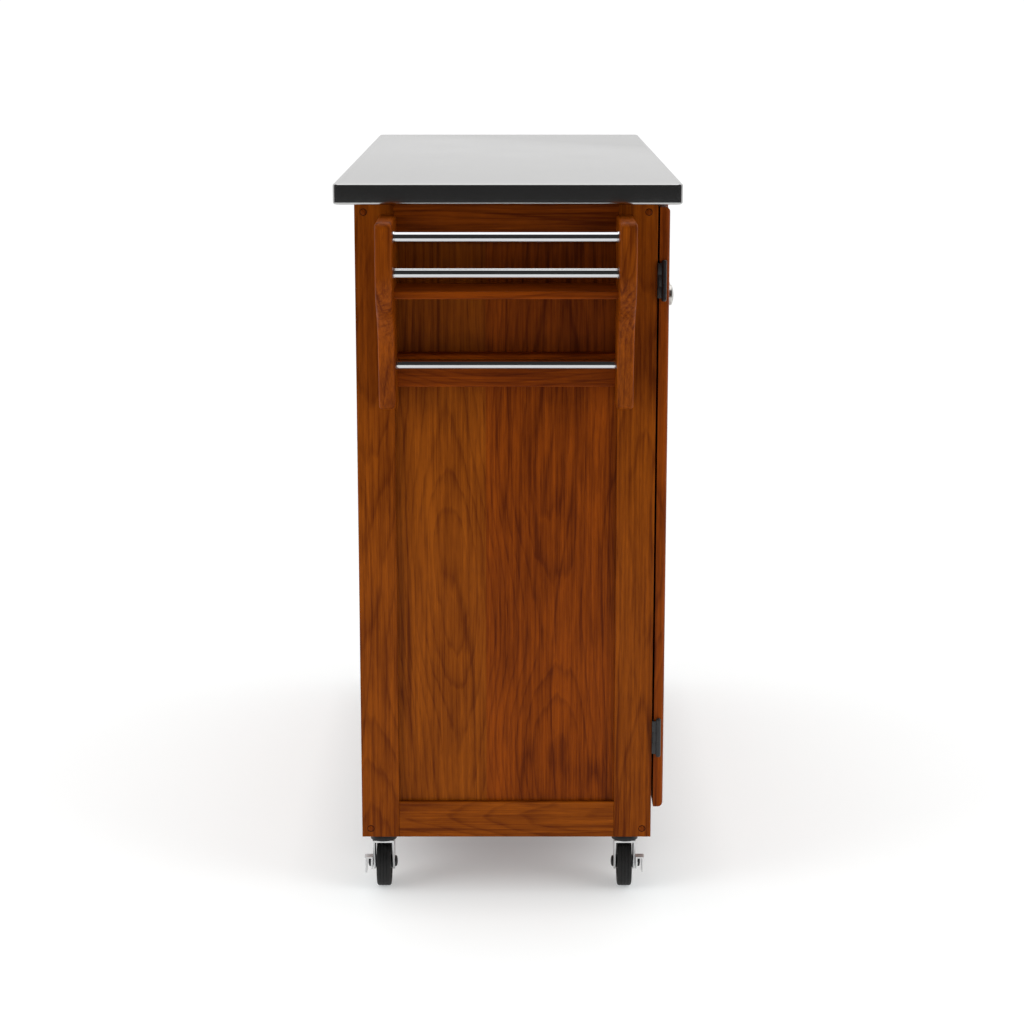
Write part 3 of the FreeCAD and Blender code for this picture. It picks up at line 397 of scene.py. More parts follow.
def bevelled(piece, width, degrees):
    """Eases the edges that turn more than this angle."""
    bevel = piece.modifiers.new("ease", "BEVEL")
    bevel.width, bevel.segments = width, 2
    bevel.limit_method, bevel.angle_limit = "ANGLE", math.radians(degrees)
    bevel.harden_normals = True


def clean_copy(node):
    """A CAD node's mesh with its triangles merged into whole faces."""
    shape = bmesh.new()
    shape.from_mesh(nodes[node].data)
    bmesh.ops.remove_doubles(shape, verts=shape.verts, dist=1e-6)
    bmesh.ops.dissolve_limit(shape, angle_limit=math.radians(0.5), verts=shape.verts, edges=shape.edges)
    return shape


def islands(shape):
    """The separate solids of a mesh, each as a list of faces."""
    waiting = set(shape.faces)
    found = []
    while waiting:
        group = [waiting.pop()]
        for face in group:
            beside = {other for edge in face.edges for other in edge.link_faces} & waiting
            waiting -= beside
            group.extend(sorted(beside, key=lambda other: other.index))
        found.append(group)
    return sorted(found, key=lambda group: [round(v, 4) for v in face_box(group)[0]])


def face_box(faces):
    """The lowest and highest corner of some faces."""
    points = [vertex.co for face in faces for vertex in face.verts]
    return [Vector([pick(point[axis] for point in points) for axis in range(3)]) for pick in (min, max)]


def any_board(chance, width):
    """A board's heart line and tone, picked at random: (off its middle, depth, tone)."""
    if chance.random() < 0.6:
        return chance.uniform(-0.3, 0.3) * width, chance.uniform(0.03, 0.08), chance.uniform(0.1, 0.8)
    return chance.choice((-1, 1)) * chance.uniform(0.10, 0.16), 0.03, chance.uniform(0.1, 0.8)


def write_grain(shape, seams, boards, chance, grain_axis):
    """Writes the plank and heart attributes of every board of a mesh."""
    plank = shape.loops.layers.float_vector.new("plank")
    heart = shape.loops.layers.float_vector.new("heart")
    for group in islands(shape):
        low, high = face_box(group)
        size = high - low
        along = grain_axis if grain_axis is not None else max(range(3), key=lambda axis: size[axis])
        through = min((axis for axis in range(3) if axis != along), key=lambda axis: size[axis])
        across = 3 - along - through
        edges = [low[across], *seams, high[across]]
        for number, (start, end) in enumerate(zip(edges, edges[1:])):
            shift = Vector([chance.uniform(-4, 4) for axis in range(3)])
            aside, depth, tone = boards[number] if boards else any_board(chance, end - start)
            middle = (start + end) / 2 + aside
            for face in group:
                if not start <= face.calc_center_median()[across] <= end:
                    continue
                for loop in face.loops:
                    point = loop.vert.co
                    loop[plank] = Vector((point[along], point[across], point[through])) + shift
                    loop[heart] = (point[across] - middle, point[through] - low[through] + depth, tone)


DOORS = ("left_door", "left_centre_door", "right_centre_door", "right_door")
SEAM_AXIS = {"back_panels": 0, **{door + "_panel": 0 for door in DOORS}}


def dressed(node, material, ease=0.0, seams=(), boards=(), grain_axis=None):
    """Replaces a wooden node with the same shape, boarded and eased."""
    shape = clean_copy(node)
    seam_axis = SEAM_AXIS.get(node, 1)
    for seam in seams:
        point, normal = Vector(), Vector()
        point[seam_axis], normal[seam_axis] = seam, 1
        bmesh.ops.bisect_plane(shape, geom=shape.verts[:] + shape.edges[:] + shape.faces[:],
                               plane_co=point, plane_no=normal, dist=1e-6)
    write_grain(shape, seams, boards, random.Random(node), grain_axis)
    mesh = as_mesh(shape, node)
    smooth(mesh)
    piece = add_object(node + "_dressed", mesh, material, body_of_node[node])
    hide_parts(node)
    if ease:
        bevelled(piece, ease, 50)


# %% [markdown]
# ## The case
#
# The frames keep the eased edges that the CAD gave their faces. The end panel at the rack end is
# made of two boards, one yellower with a broad oval figure, one redder and straighter, so its seam
# and its heart lines are given. The other panels are split into even boards.

# %% Case boards
def even_seams(node, count):
    """Seams that split a panel into equal boards."""
    low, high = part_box(node)
    axis = SEAM_AXIS.get(node, 1)
    return [low[axis] + (high[axis] - low[axis]) * number / count for number in range(1, count)]


for name in ("left_end_stiles", "left_end_rails", "right_end_stiles", "right_end_rails",
             "back_stiles", "back_rails"):
    dressed(name, stained)
for name in ("front_rails", "centre_stile"):
    dressed(name, stained, ease=0.8 * MM)

OVAL_BOARD = 0.119
oval_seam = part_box("left_end_panel")[1].y - OVAL_BOARD
dressed("left_end_panel", panelled, seams=[oval_seam],
        boards=[(-0.010, 0.075, 0.12), (-0.016, 0.050, 0.85)])
dressed("right_end_panel", panelled, seams=even_seams("right_end_panel", 2))
dressed("back_panels", panelled, seams=even_seams("back_panels", 8), grain_axis=2)
dressed("bottom_panel", panelled, ease=0.5 * MM)
dressed("centre_partition", panelled, ease=0.5 * MM, grain_axis=2)
dressed("shelves", panelled, ease=1.2 * MM)
dressed("worktop_cleats", plain, ease=0.6 * MM)
dressed("corner_blocks", plain, grain_axis=2)
for name in ("rack_shelf", "rack_board"):
    dressed(name, stained, boards=[(0.12, 0.04, 0.0)], grain_axis=1)
dressed("rack_brackets", stained, grain_axis=2)
dressed("worktop_core", plain, ease=0.3 * MM)
print("case boards done")

# %% [markdown]
# ## The doors
#
# Each door is a frame of four boards round a flat panel. The outer edge is well rounded by the CAD.
# The grain of a rail runs level and that of a stile upright, which the longest side gives for free.

# %% Doors
for door in DOORS:
    dressed(door + "_frame", stained, boards=[(0.10, 0.05, 0.08)])
    dressed(door + "_panel", panelled, seams=even_seams(door + "_panel", 2))


# %% [markdown]
# ## Plain metal nodes
#
# Some nodes have the right shape already: hinge leaves, forks, levers, stems. They get the same
# clean copy with a fine bevel, so that their edges glint as pressed metal does.

# %% Metal nodes
def refined(node, material, ease):
    """Replaces a metal node with a smooth-shaded, bevelled copy."""
    mesh = as_mesh(clean_copy(node), node)
    smooth(mesh)
    piece = add_object(node + "_refined", mesh, material, body_of_node[node])
    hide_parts(node)
    bevelled(piece, ease, 40)


CORNERS = ("left_front", "left_back", "right_front", "right_back")
for name in ["case_hinge_leaves", *[door + "_hinge_leaves" for door in DOORS]]:
    refined(name, black, 0.15 * MM)
refined("hinge_pins", black, 0.1 * MM)
for corner in CORNERS:
    refined(corner + "_caster_fork", zinc, 0.35 * MM)
for corner in CORNERS[:2]:
    refined(corner + "_brake_lever", zinc, 0.35 * MM)
# The stems take the black finish, which keeps the space above each fork dark.
refined("caster_stems", black, 0.3 * MM)
refined("caster_sockets", zinc, 0.2 * MM)
refined("rack_screws", zinc, 0.4 * MM)
refined("shelf_pins", zinc, 0.5 * MM)


# %% [markdown]
# ## Turned pieces
#
# Knobs, tyres and hubs are bodies of revolution. `lathe` takes a half outline of (radius, along)
# points and spins it round an axis; an outline that starts and ends on the axis closes itself.

# %% Lathe
def arc(centre_r, centre_a, radius, start, end, steps):
    """Points of an arc in the (radius, along) plane, angles in degrees."""
    points = []
    for step in range(steps + 1):
        angle = math.radians(start + (end - start) * step / steps)
        points.append((centre_r + radius * math.cos(angle), centre_a + radius * math.sin(angle)))
    return points


def lathe(name, outline, centre, axis, closed, around=64):
    """A mesh of the outline turned round an axis through the centre."""
    axis = Vector(axis)
    side = axis.orthogonal().normalized()
    other = axis.cross(side)
    shape = bmesh.new()
    rings = []
    for radius, along in outline:
        if radius < 1e-7:
            rings.append([shape.verts.new(centre + axis * along)])
            continue
        ring = []
        for step in range(around):
            angle = 2 * math.pi * step / around
            spoke = side * math.cos(angle) + other * math.sin(angle)
            ring.append(shape.verts.new(centre + axis * along + spoke * radius))
        rings.append(ring)
    pairs = list(zip(rings, rings[1:]))
    if closed:
        pairs.append((rings[-1], rings[0]))
    for first, second in pairs:
        for step in range(around):
            following = (step + 1) % around
            if len(first) == 1 and len(second) > 1:
                shape.faces.new((first[0], second[following], second[step]))
            elif len(second) == 1 and len(first) > 1:
                shape.faces.new((first[step], first[following], second[0]))
            elif len(first) > 1:
                shape.faces.new((first[step], first[following], second[following], second[step]))
    bmesh.ops.recalc_face_normals(shape, faces=shape.faces)
    mesh = as_mesh(shape, name)
    smooth(mesh, 40)
    return mesh


# %% [markdown]
# ### Knobs
#
# The knob is a cast mushroom: a flared foot against the door, a waist, and a broad domed head.

# %% Knobs
for door in DOORS:
    low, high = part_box(door + "_knob")
    reach = high.y - low.y
    head = (high.x - low.x) / 2
    outline = [(0, 0), (head * 0.58, 0), (head * 0.60, reach * 0.03), (head * 0.58, reach * 0.08)]
    outline += arc(head * 0.78, reach * 0.32, head * 0.36, 220, 140, 8)
    outline += [(head * 0.80, reach * 0.60), (head * 0.93, reach * 0.66)]
    outline += arc(head * 0.94, reach * 0.74, head * 0.06, -60, 60, 6)
    outline += arc(0, -reach * 0.62, reach * 1.62, 49, 90, 12)[1:-1]
    outline += [(0, reach)]
    outline = [(min(radius, head), along) for radius, along in outline]
    centre = Vector(((low.x + high.x) / 2, high.y, (low.z + high.z) / 2))
    mesh = lathe(door + "_knob", outline, centre, (0, -1, 0), closed=False)
    knob = add_object(door + "_knob_turned", mesh, nickel, door)
    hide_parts(door + "_knob")
print("knobs: head radius", round(head / MM, 1), "mm")

# %% [markdown]
# ### Wheels
#
# A tyre of solid rubber on a moulded hub. The tread has a few shallow grooves, the hub a thick boss
# round the axle. Both are turned; ribs between rim and boss come later from Geometry Nodes.

# %% Wheels
def wheel(corner):
    low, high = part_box(corner + "_tyre")
    hub_low, hub_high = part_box(corner + "_wheel_hub")
    centre = (low + high) / 2
    radius = (high.z - low.z) / 2
    half = (high.y - low.y) / 2
    seat = (hub_high.z - hub_low.z) / 2
    shoulder = 3.2 * MM
    outline = [(seat, -half + 1.7 * MM), (seat + 1.2 * MM, -half + 0.6 * MM),
               (radius - shoulder - 1.5 * MM, -half)]
    outline += arc(radius - shoulder, -half + shoulder, shoulder, -90, 0, 6)
    groove = 0.5 * MM
    for place in (-0.45, 0.0, 0.45):
        middle = place * half
        outline += [(radius, middle - groove), (radius - groove, middle - groove / 2),
                    (radius - groove, middle + groove / 2), (radius, middle + groove)]
    outline += arc(radius - shoulder, half - shoulder, shoulder, 0, 90, 6)
    outline += [(radius - shoulder - 1.5 * MM, half), (seat + 1.2 * MM, half - 0.6 * MM),
                (seat, half - 1.7 * MM)]
    body = corner + "_wheel"
    tyre = add_object(corner + "_tyre_ring", lathe(corner + "_tyre", outline, centre, (0, 1, 0), True, 96),
                      tyre_rubber, body)
    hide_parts(corner + "_tyre")

    wide = (hub_high.y - hub_low.y) / 2
    bore = 3.1 * MM
    rim = seat - 2.6 * MM
    boss = 9 * MM
    edge = half - 1.8 * MM
    one_side = [(bore, wide), (boss - 0.8 * MM, wide), (boss, wide - 0.8 * MM), (boss + 0.8 * MM, 3.4 * MM),
                (rim - 1 * MM, 3.0 * MM), (rim, edge - 0.5 * MM), (rim + 0.5 * MM, edge), (seat, edge)]
    outline = [(reach, -along) for reach, along in one_side] + one_side[::-1]
    hub = add_object(corner + "_hub_turned", lathe(corner + "_hub", outline, centre, (0, 1, 0), True, 64),
                     plastic, body)
    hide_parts(corner + "_wheel_hub")
    return centre, rim, boss


wheels = {corner: wheel(corner) for corner in CORNERS}
for corner, (centre, rim, boss) in wheels.items():
    print(corner, "wheel at", [round(v, 3) for v in centre])

# %% [markdown]
# ## The steel worktop
#
# The top is one sheet folded over a core: a flat face, a rolled edge, an upright face, and a flange
# turned back underneath. Its outline is a rectangle with rounded corners, repeated at each step of
# the fold, so it is made as rings joined by quads, with the two flat faces as single polygons.

# %% Worktop
CORNER_RADIUS, SHARPEST, CORNER_STEPS = 8 * MM, 0.4 * MM, 8


def plan_ring(low, high, inset, level):
    """Points of a rounded rectangle, inset from the box and at one level."""
    radius = max(CORNER_RADIUS - inset, SHARPEST)
    points = []
    for quadrant in range(4):
        across = high.x - inset - radius if quadrant in (0, 3) else low.x + inset + radius
        deep = high.y - inset - radius if quadrant in (0, 1) else low.y + inset + radius
        for step in range(CORNER_STEPS + 1):
            angle = math.radians(90 * quadrant + 90 * step / CORNER_STEPS)
            points.append((across + radius * math.cos(angle), deep + radius * math.sin(angle), level))
    return points


def fold_profile(height):
    """(inset, depth below the top) of the folded sheet, from the top face round to its inside."""
    bend, sheet, flange, foot = 2.5 * MM, 1.2 * MM, 18 * MM, 3.0 * MM
    profile = [(bend - bend * math.sin(math.radians(a)), bend - bend * math.cos(math.radians(a)))
               for a in range(0, 91, 15)]
    profile += [(foot - foot * math.cos(math.radians(a)), height - foot + foot * math.sin(math.radians(a)))
                for a in range(0, 91, 18)]
    profile += [(flange, height), (flange, height - sheet), (sheet, height - sheet), (sheet, sheet)]
    return profile


def build_worktop():
    shape = bmesh.new()
    rings = []
    for inset, depth in fold_profile(top_high.z - top_low.z):
        ring = plan_ring(top_low, top_high, inset, top_high.z - depth)
        rings.append([shape.verts.new(point) for point in ring])
    count = len(rings[0])
    for first, second in zip(rings, rings[1:]):
        for step in range(count):
            following = (step + 1) % count
            shape.faces.new((first[step], second[step], second[following], first[following]))
    shape.faces.new(rings[0])
    shape.faces.new(list(reversed(rings[-1])))
    bmesh.ops.recalc_face_normals(shape, faces=shape.faces)
    mesh = as_mesh(shape, "worktop")
    smooth(mesh, 30)
    return mesh


worktop = add_object("worktop_folded", build_worktop(), steel, "case")
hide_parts("worktop_steel")
print("worktop faces:", len(worktop.data.polygons))

# %% [markdown]
# ## Geometry Nodes for what repeats
#
# Rods, plugs, screws, sleeves and ribs are each one small shape used many times. A tree places one
# shape on every point of a mesh, turns it, makes the copies real and sets their material. The
# modifier's result is turned into a plain mesh and the modifier is dropped.

# %% Tree helpers
class Recipe(Graph):
    """A Geometry Nodes tree with named inputs."""

    def __init__(self, name, inputs):
        tree = bpy.data.node_groups.new(name, "GeometryNodeTree")
        tree.interface.new_socket("Geometry", in_out="INPUT", socket_type="NodeSocketGeometry")
        for label, (kind, value) in {**inputs, "Material": ("NodeSocketMaterial", None)}.items():
            socket = tree.interface.new_socket(label, in_out="INPUT", socket_type=kind)
            if value is not None:
                socket.default_value = value
        tree.interface.new_socket("Geometry", in_out="OUTPUT", socket_type="NodeSocketGeometry")
        super().__init__(tree)
        self.source = tree.nodes.new("NodeGroupInput")

    def input(self, label):
        return Signal(self, self.source.outputs[label])

    def end(self, geometry):
        """Realises the copies, sets their material and closes the tree."""
        real = self.node("GeometryNodeRealizeInstances", None, {0: geometry})
        painted = self.node("GeometryNodeSetMaterial", None,
                            {"Geometry": real, "Material": self.input("Material")})
        out = self.tree.nodes.new("NodeGroupOutput")
        self.tree.links.new(painted.socket, out.inputs[0])


def run_recipe(recipe, name, points, values, facings=()):
    """Applies a tree to a mesh of points and returns the result as a plain mesh."""
    mesh = bpy.data.meshes.new(name + "_points")
    mesh.from_pydata([tuple(point) for point in points], [], [])
    if facings:
        column = mesh.attributes.new("facing", "FLOAT_VECTOR", "POINT")
        for cell, facing in zip(column.data, facings):
            cell.vector = facing
    holder = bpy.data.objects.new(name + "_points", mesh)
    bpy.context.scene.collection.objects.link(holder)
    modifier = holder.modifiers.new("recipe", "NODES")
    modifier.node_group = recipe.tree
    for item in recipe.tree.interface.items_tree:
        if item.in_out == "INPUT" and item.name in values:
            modifier[item.identifier] = values[item.name]
    graph = bpy.context.evaluated_depsgraph_get()
    result = bpy.data.meshes.new_from_object(holder.evaluated_get(graph))
    holder.modifiers.clear()
    bpy.data.objects.remove(holder)
    result.name = name
    return result


# %% [markdown]
# ### Rods
#
# The two rack rods and the towel rod are straight chromed bars. The tree draws one line, sweeps a
# circle along it and puts a copy at each point. The ends are hidden in the brackets' sockets.

# %% Rods
FLOAT, WHOLE, OBJECT = "NodeSocketFloat", "NodeSocketInt", "NodeSocketObject"


def rod_recipe():
    tree = Recipe("rods", {"Radius": (FLOAT, 0.006), "Length": (FLOAT, 0.3)})
    start = tree.node("ShaderNodeCombineXYZ", None, {1: tree.input("Length") * -0.5})
    end = tree.node("ShaderNodeCombineXYZ", None, {1: tree.input("Length") * 0.5})
    line = tree.node("GeometryNodeCurvePrimitiveLine", None, {"Start": start, "End": end})
    circle = tree.node("GeometryNodeCurvePrimitiveCircle", None,
                       {"Resolution": 64, "Radius": tree.input("Radius")})
    bar = tree.node("GeometryNodeCurveToMesh", None,
                    {"Curve": line, "Profile Curve": circle, "Fill Caps": True})
    copies = tree.node("GeometryNodeInstanceOnPoints", None,
                       {"Points": tree.input("Geometry"), "Instance": bar})
    tree.end(copies)
    return tree


rods = rod_recipe()
rod_low, rod_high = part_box("rack_rods")
towel_low, towel_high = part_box("towel_rod")
rod_radius = (towel_high.z - towel_low.z) / 2
rod_length = towel_high.y - towel_low.y
rod_x = (rod_low.x + rod_high.x) / 2
rod_y = (rod_low.y + rod_high.y) / 2
rod_values = {"Radius": rod_radius, "Length": rod_length, "Material": chromed}
pair = [(rod_x, rod_y, rod_low.z + rod_radius), (rod_x, rod_y, rod_high.z - rod_radius)]
for name, points in (("rack_rods", pair), ("towel_rod", [(towel_low + towel_high) / 2])):
    mesh = run_recipe(rods, name, points, rod_values)
    smooth(mesh)
    bar = add_object(name + "_bars", mesh, chromed, "case")
    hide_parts(name)
print("rods of", round(2 * rod_radius / MM, 2), "mm")

# %% [markdown]
# ### Small fittings
#
# Plugs, screws, sleeves, collars, stain lines and caps sit on a face and point out of it. One tree
# serves them all: it puts a shape on every point, turns the shape's Z axis to the point's `facing`,
# and spins it at random up to `Spin`, because nobody lines up the slots of screws.

# %% Fittings tree
def fittings_recipe():
    tree = Recipe("fittings", {"Shape": (OBJECT, None), "Spin": (FLOAT, 0.0), "Seed": (WHOLE, 4)})
    shape = tree.node("GeometryNodeObjectInfo", None, {"Object": tree.input("Shape")}, output="Geometry")
    facing = tree.node("GeometryNodeInputNamedAttribute", {"data_type": "FLOAT_VECTOR"}, {"Name": "facing"})
    turned = tree.node("FunctionNodeAlignRotationToVector", {"axis": "Z"}, {"Vector": facing})
    angle = tree.node("FunctionNodeRandomValue", {"data_type": "FLOAT"},
                      {2: 0.0, 3: tree.input("Spin"), "Seed": tree.input("Seed")}, output=1)
    spin = tree.node("FunctionNodeAxisAngleToRotation", None, {"Axis": (0, 0, 1), "Angle": angle})
    both = tree.node("FunctionNodeRotateRotation", {"rotation_space": "LOCAL"},
                     {"Rotation": turned, "Rotate By": spin})
    copies = tree.node("GeometryNodeInstanceOnPoints", None,
                       {"Points": tree.input("Geometry"), "Instance": shape, "Rotation": both})
    tree.end(copies)
    return tree


fittings = fittings_recipe()
ORIGIN, UP = Vector(), (0, 0, 1)


def fit(name, shape, places, material, body, spin=0.0):
    """Puts one shape at every (point, facing) and returns the finished piece."""
    pattern = bpy.data.objects.new(name + "_pattern", shape)
    bpy.context.scene.collection.objects.link(pattern)
    mesh = run_recipe(fittings, name, [point for point, facing in places],
                      {"Shape": pattern, "Spin": spin, "Material": material},
                      [facing for point, facing in places])
    bpy.data.objects.remove(pattern)
    smooth(mesh)
    return add_object(name, mesh, material, body)


def solid_boxes(node):
    """The lowest and highest corners of a node's separate solids."""
    shape = clean_copy(node)
    boxes = [face_box(group) for group in islands(shape)]
    shape.free()
    return boxes


# %% [markdown]
# ### Plugs over the frame screws
#
# The frames are screwed together through their ends and each hole is closed with a stained wooden
# button: a short shank, a little slimmer than its hole, under a low dome.

# %% Plugs
def plug_shape(radius, shank, proud):
    """A domed button with its own grain, standing on the plane z = 0."""
    dome = [(radius * math.cos(math.radians(a)), proud * math.sin(math.radians(a))) for a in range(0, 90, 15)]
    mesh = lathe("plug", [(0, -shank), (radius - 0.3 * MM, -shank), *dome, (0, proud)], ORIGIN, UP, False, 32)
    shape = bmesh.new()
    shape.from_mesh(mesh)
    write_grain(shape, (), [(0.02, 0.05, 0.25)], random.Random(3), 0)
    shape.to_mesh(mesh)
    shape.free()
    return mesh


PLUG_PROUD, PLUG_SHANK, PLUG_GAP = 0.8 * MM, 5 * MM, 0.6 * MM
plug_places = []
for low, high in solid_boxes("end_plugs"):
    plug_radius = (high.z - low.z) / 2
    outward = -1 if low.x < 0 else 1
    face = low.x + PLUG_PROUD if outward < 0 else high.x - PLUG_PROUD
    plug_places.append(((face, (low.y + high.y) / 2, (low.z + high.z) / 2), (outward, 0, 0)))
button = plug_shape(plug_radius - PLUG_GAP, PLUG_SHANK, PLUG_PROUD)
plugs = fit("plug_buttons", button, plug_places, stained, "case")
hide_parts("end_plugs")
print(len(plug_places), "plugs")

# %% [markdown]
# ### Screws in the hinges
#
# Each hinge leaf is held by two countersunk screws, all but flush with it. The head is a cone with a
# cross recess: a ring whose radius swells in four directions, sunk and closed at the bottom.

# %% Hinge screws
def screw_shape(radius, sunk):
    """A countersunk head with a cross recess; its top lies in the plane z = 0."""
    around = 32
    shape = bmesh.new()
    levels = []
    for size, level, cross in ((0.5, -sunk, 0), (1, 0, 0), (0.62, 0, 1), (0.40, -0.55 * sunk, 1)):
        ring = []
        for step in range(around):
            angle = 2 * math.pi * step / around
            arm = 0.30 + 0.70 * abs(math.cos(2 * angle)) ** 6 if cross else 1
            reach = radius * size * arm
            ring.append(shape.verts.new((reach * math.cos(angle), reach * math.sin(angle), level)))
        levels.append(ring)
    for first, second in zip(levels, levels[1:]):
        for step in range(around):
            following = (step + 1) % around
            shape.faces.new((first[step], first[following], second[following], second[step]))
    shape.faces.new(list(reversed(levels[0])))
    shape.faces.new(levels[-1])
    bmesh.ops.recalc_face_normals(shape, faces=shape.faces)
    return as_mesh(shape, "screw")


def screw_places(node, sheet, facing):
    """Two places on each leaf, between its knuckle and its free edge; sheet is the depth of the face."""
    places = []
    for low, high in solid_boxes(node):
        middle = (low + high) / 2
        pin_low, pin_high = min(pin_boxes, key=lambda pin: ((pin[0] + pin[1]) / 2 - middle).length)
        pin_x = (pin_low.x + pin_high.x) / 2
        free_edge = high.x if high.x - pin_x > pin_x - low.x else low.x
        for share in (0.25, 0.75):
            places.append(((pin_x + (free_edge - pin_x) * 0.58, high.y - sheet,
                            low.z + (high.z - low.z) * share), (0, facing, 0)))
    return places


LEAF_SHEET, HEAD_RADIUS, HEAD_DEPTH, HEAD_PROUD = 1.1 * MM, 2.6 * MM, 0.9 * MM, 0.05 * MM
pin_boxes = solid_boxes("hinge_pins")
leaf_sides = [("case_hinge_leaves", LEAF_SHEET, -1), *[(door + "_hinge_leaves", 0, 1) for door in DOORS]]
for node, sheet, facing in leaf_sides:
    places = screw_places(node, sheet - HEAD_PROUD * facing, facing)
    fit(node + "_screws", screw_shape(HEAD_RADIUS, HEAD_DEPTH), places, black, body_of_node[node],
        spin=math.pi)
print("hinge screws:", sum(2 * len(solid_boxes(node)) for node, sheet, facing in leaf_sides))

# %% [markdown]
# ### Sleeves for the shelf pins
#
# Each shelf rests on four pins in a column of sleeved holes, one hole every 32 mm, so that it can be
# moved up or down. A sleeve is a moulded cup with a thin collar that stays on the surface.

# %% Shelf-pin sleeves
def sleeve_shape(radius, rise):
    """A collar round a shallow dimple, standing on the plane z = 0."""
    hole = radius * 0.68
    outline = [(0, -0.2 * MM), (radius, -0.2 * MM), (radius, rise * 0.5), (radius - rise * 0.5, rise),
               (hole + 0.2 * MM, rise), (hole, rise * 0.6), (hole, 0.05 * MM), (0, 0.05 * MM)]
    return lathe("sleeve", outline, ORIGIN, UP, False, 24)


HOLE_PITCH, HOLES_EACH_WAY = 32 * MM, 4
PIN_DEPTH, NEARBY = 5 * MM, 20 * MM
SLEEVE_RADIUS, SLEEVE_RISE = 3.6 * MM, 0.6 * MM
inner_low, inner_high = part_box("centre_partition")
sleeve_places = []
for low, high in solid_boxes("shelf_pins"):
    middle = (low + high) / 2
    in_left_bay = middle.x < (inner_low.x + inner_high.x) / 2
    near_left_side = abs(middle.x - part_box("left_end_stiles")[1].x) < NEARBY
    near_partition_right = not in_left_bay and middle.x < inner_high.x + NEARBY
    facing = 1 if near_left_side or near_partition_right else -1
    surface = low.x + PIN_DEPTH if facing > 0 else high.x - PIN_DEPTH
    for step in range(-HOLES_EACH_WAY, HOLES_EACH_WAY + 1):
        if step:
            sleeve_places.append(((surface, middle.y, middle.z + step * HOLE_PITCH), (facing, 0, 0)))
fit("shelf_pin_sleeves", sleeve_shape(SLEEVE_RADIUS, SLEEVE_RISE), sleeve_places, plastic, "case")
print(len(sleeve_places), "sleeves")

# %% [markdown]
# ### Collars on the rods
#
# Each rod ends in a thin plated collar where it enters its bracket, which hides the edge of the hole.

# %% Rod collars
def collar_shape(inner, outer, length):
    """A rounded ring standing on the plane z = 0."""
    soft = 0.3 * MM
    outline = [(inner, 0), (outer, 0), (outer, length - soft), (outer - soft, length), (inner, length)]
    return lathe("collar", outline, ORIGIN, UP, True, 48)


front_bracket, back_bracket = sorted(solid_boxes("rack_brackets"), key=lambda box: box[0].y)
bracket_faces = [(front_bracket[1].y, 1), (back_bracket[0].y, -1)]
towel_middle = (towel_low + towel_high) / 2
collar_places = [((x, face, z), (0, facing, 0)) for face, facing in bracket_faces
                 for x, z in ((rod_x, pair[0][2]), (rod_x, pair[1][2]), (towel_middle.x, towel_middle.z))]
fit("rod_collars", collar_shape(rod_radius + 0.02 * MM, rod_radius + 0.7 * MM, 2.3 * MM), collar_places,
    chromed, "case")
print(len(collar_places), "collars")

# %% [markdown]
# ### Painted shade round the plugs
#
# The gap round each plug lies in shade, and that shade is painted: a nearly black ring set into the
# gap, its face only just above the wood, draws it as a dark line.

# %% Painted shade in the plug gaps
# Painted shade: each ring paints the gap round a plug dark.
SHADE_RING_SUNK, SHADE_RING_LENGTH = 0.7 * MM, 0.8 * MM
shade_ring_places = [((x - SHADE_RING_SUNK * facing[0], y, z), facing) for (x, y, z), facing in plug_places]
line = collar_shape(plug_radius - 1.0 * MM, plug_radius + 0.4 * MM, SHADE_RING_LENGTH)
fit("plug_stain_lines", line, shade_ring_places, gap_shade, "case")
print(len(shade_ring_places), "painted gap shade rings")

# %% [markdown]
# ### Caps on the axles
#
# A black moulded cap is pressed over both ends of each axle and keeps threads out of the bearing.

# %% Axle caps
def cap_shape(radius, height):
    """A shallow dome with a short upright rim, standing on the plane z = 0."""
    rim = 0.9 * MM
    dome = [(radius * math.cos(math.radians(a)), rim + (height - rim) * math.sin(math.radians(a)))
            for a in range(0, 90, 15)]
    return lathe("cap", [(0, 0), (radius, 0), *dome, (0, height)], ORIGIN, UP, False, 40)


AXLE_HEAD, CAP_RADIUS, CAP_HEIGHT = 2.0 * MM, 7.2 * MM, 3.2 * MM
for corner in CORNERS:
    low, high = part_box(corner + "_caster_fork")
    centre = wheels[corner][0]
    places = [((centre.x, low.y + AXLE_HEAD, centre.z), (0, -1, 0)),
              ((centre.x, high.y - AXLE_HEAD, centre.z), (0, 1, 0))]
    fit(corner + "_axle_caps", cap_shape(CAP_RADIUS, CAP_HEIGHT), places, plastic, corner + "_caster")
print("two caps on each axle")

# %% [markdown]
# ### Dust rings
#
# The ball race between a fork and its stem is a pressed cup. A black moulded ring is snapped over the
# cup to keep dust out.

# %% Dust rings
CUP_RADIUS, CUP_HEIGHT, RING_WALL = 16 * MM, 7.6 * MM, 0.9 * MM
for corner in CORNERS:
    low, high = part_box(corner + "_caster_fork")
    stem = Vector((low.x + CUP_RADIUS, wheels[corner][0].y, high.z - CUP_HEIGHT))
    ring = lathe(corner + "_dust_ring", [(CUP_RADIUS + 0.05 * MM, 0), (CUP_RADIUS + RING_WALL, 0),
                                         (CUP_RADIUS + RING_WALL * 0.7, CUP_HEIGHT * 0.85),
                                         (CUP_RADIUS + 0.05 * MM, CUP_HEIGHT * 0.96)], stem, UP, True, 48)
    add_object(corner + "_dust_ring", ring, plastic, corner + "_caster")

# %% [markdown]
# ### Ribs in the hubs
#
# The hub is stiffened by ribs between boss and rim. This tree takes a circle of `Count` points
# halfway between them, turns a thin block outwards on each, and stands the whole star up in the
# plane of the wheel at each point of the mesh, one for either side.

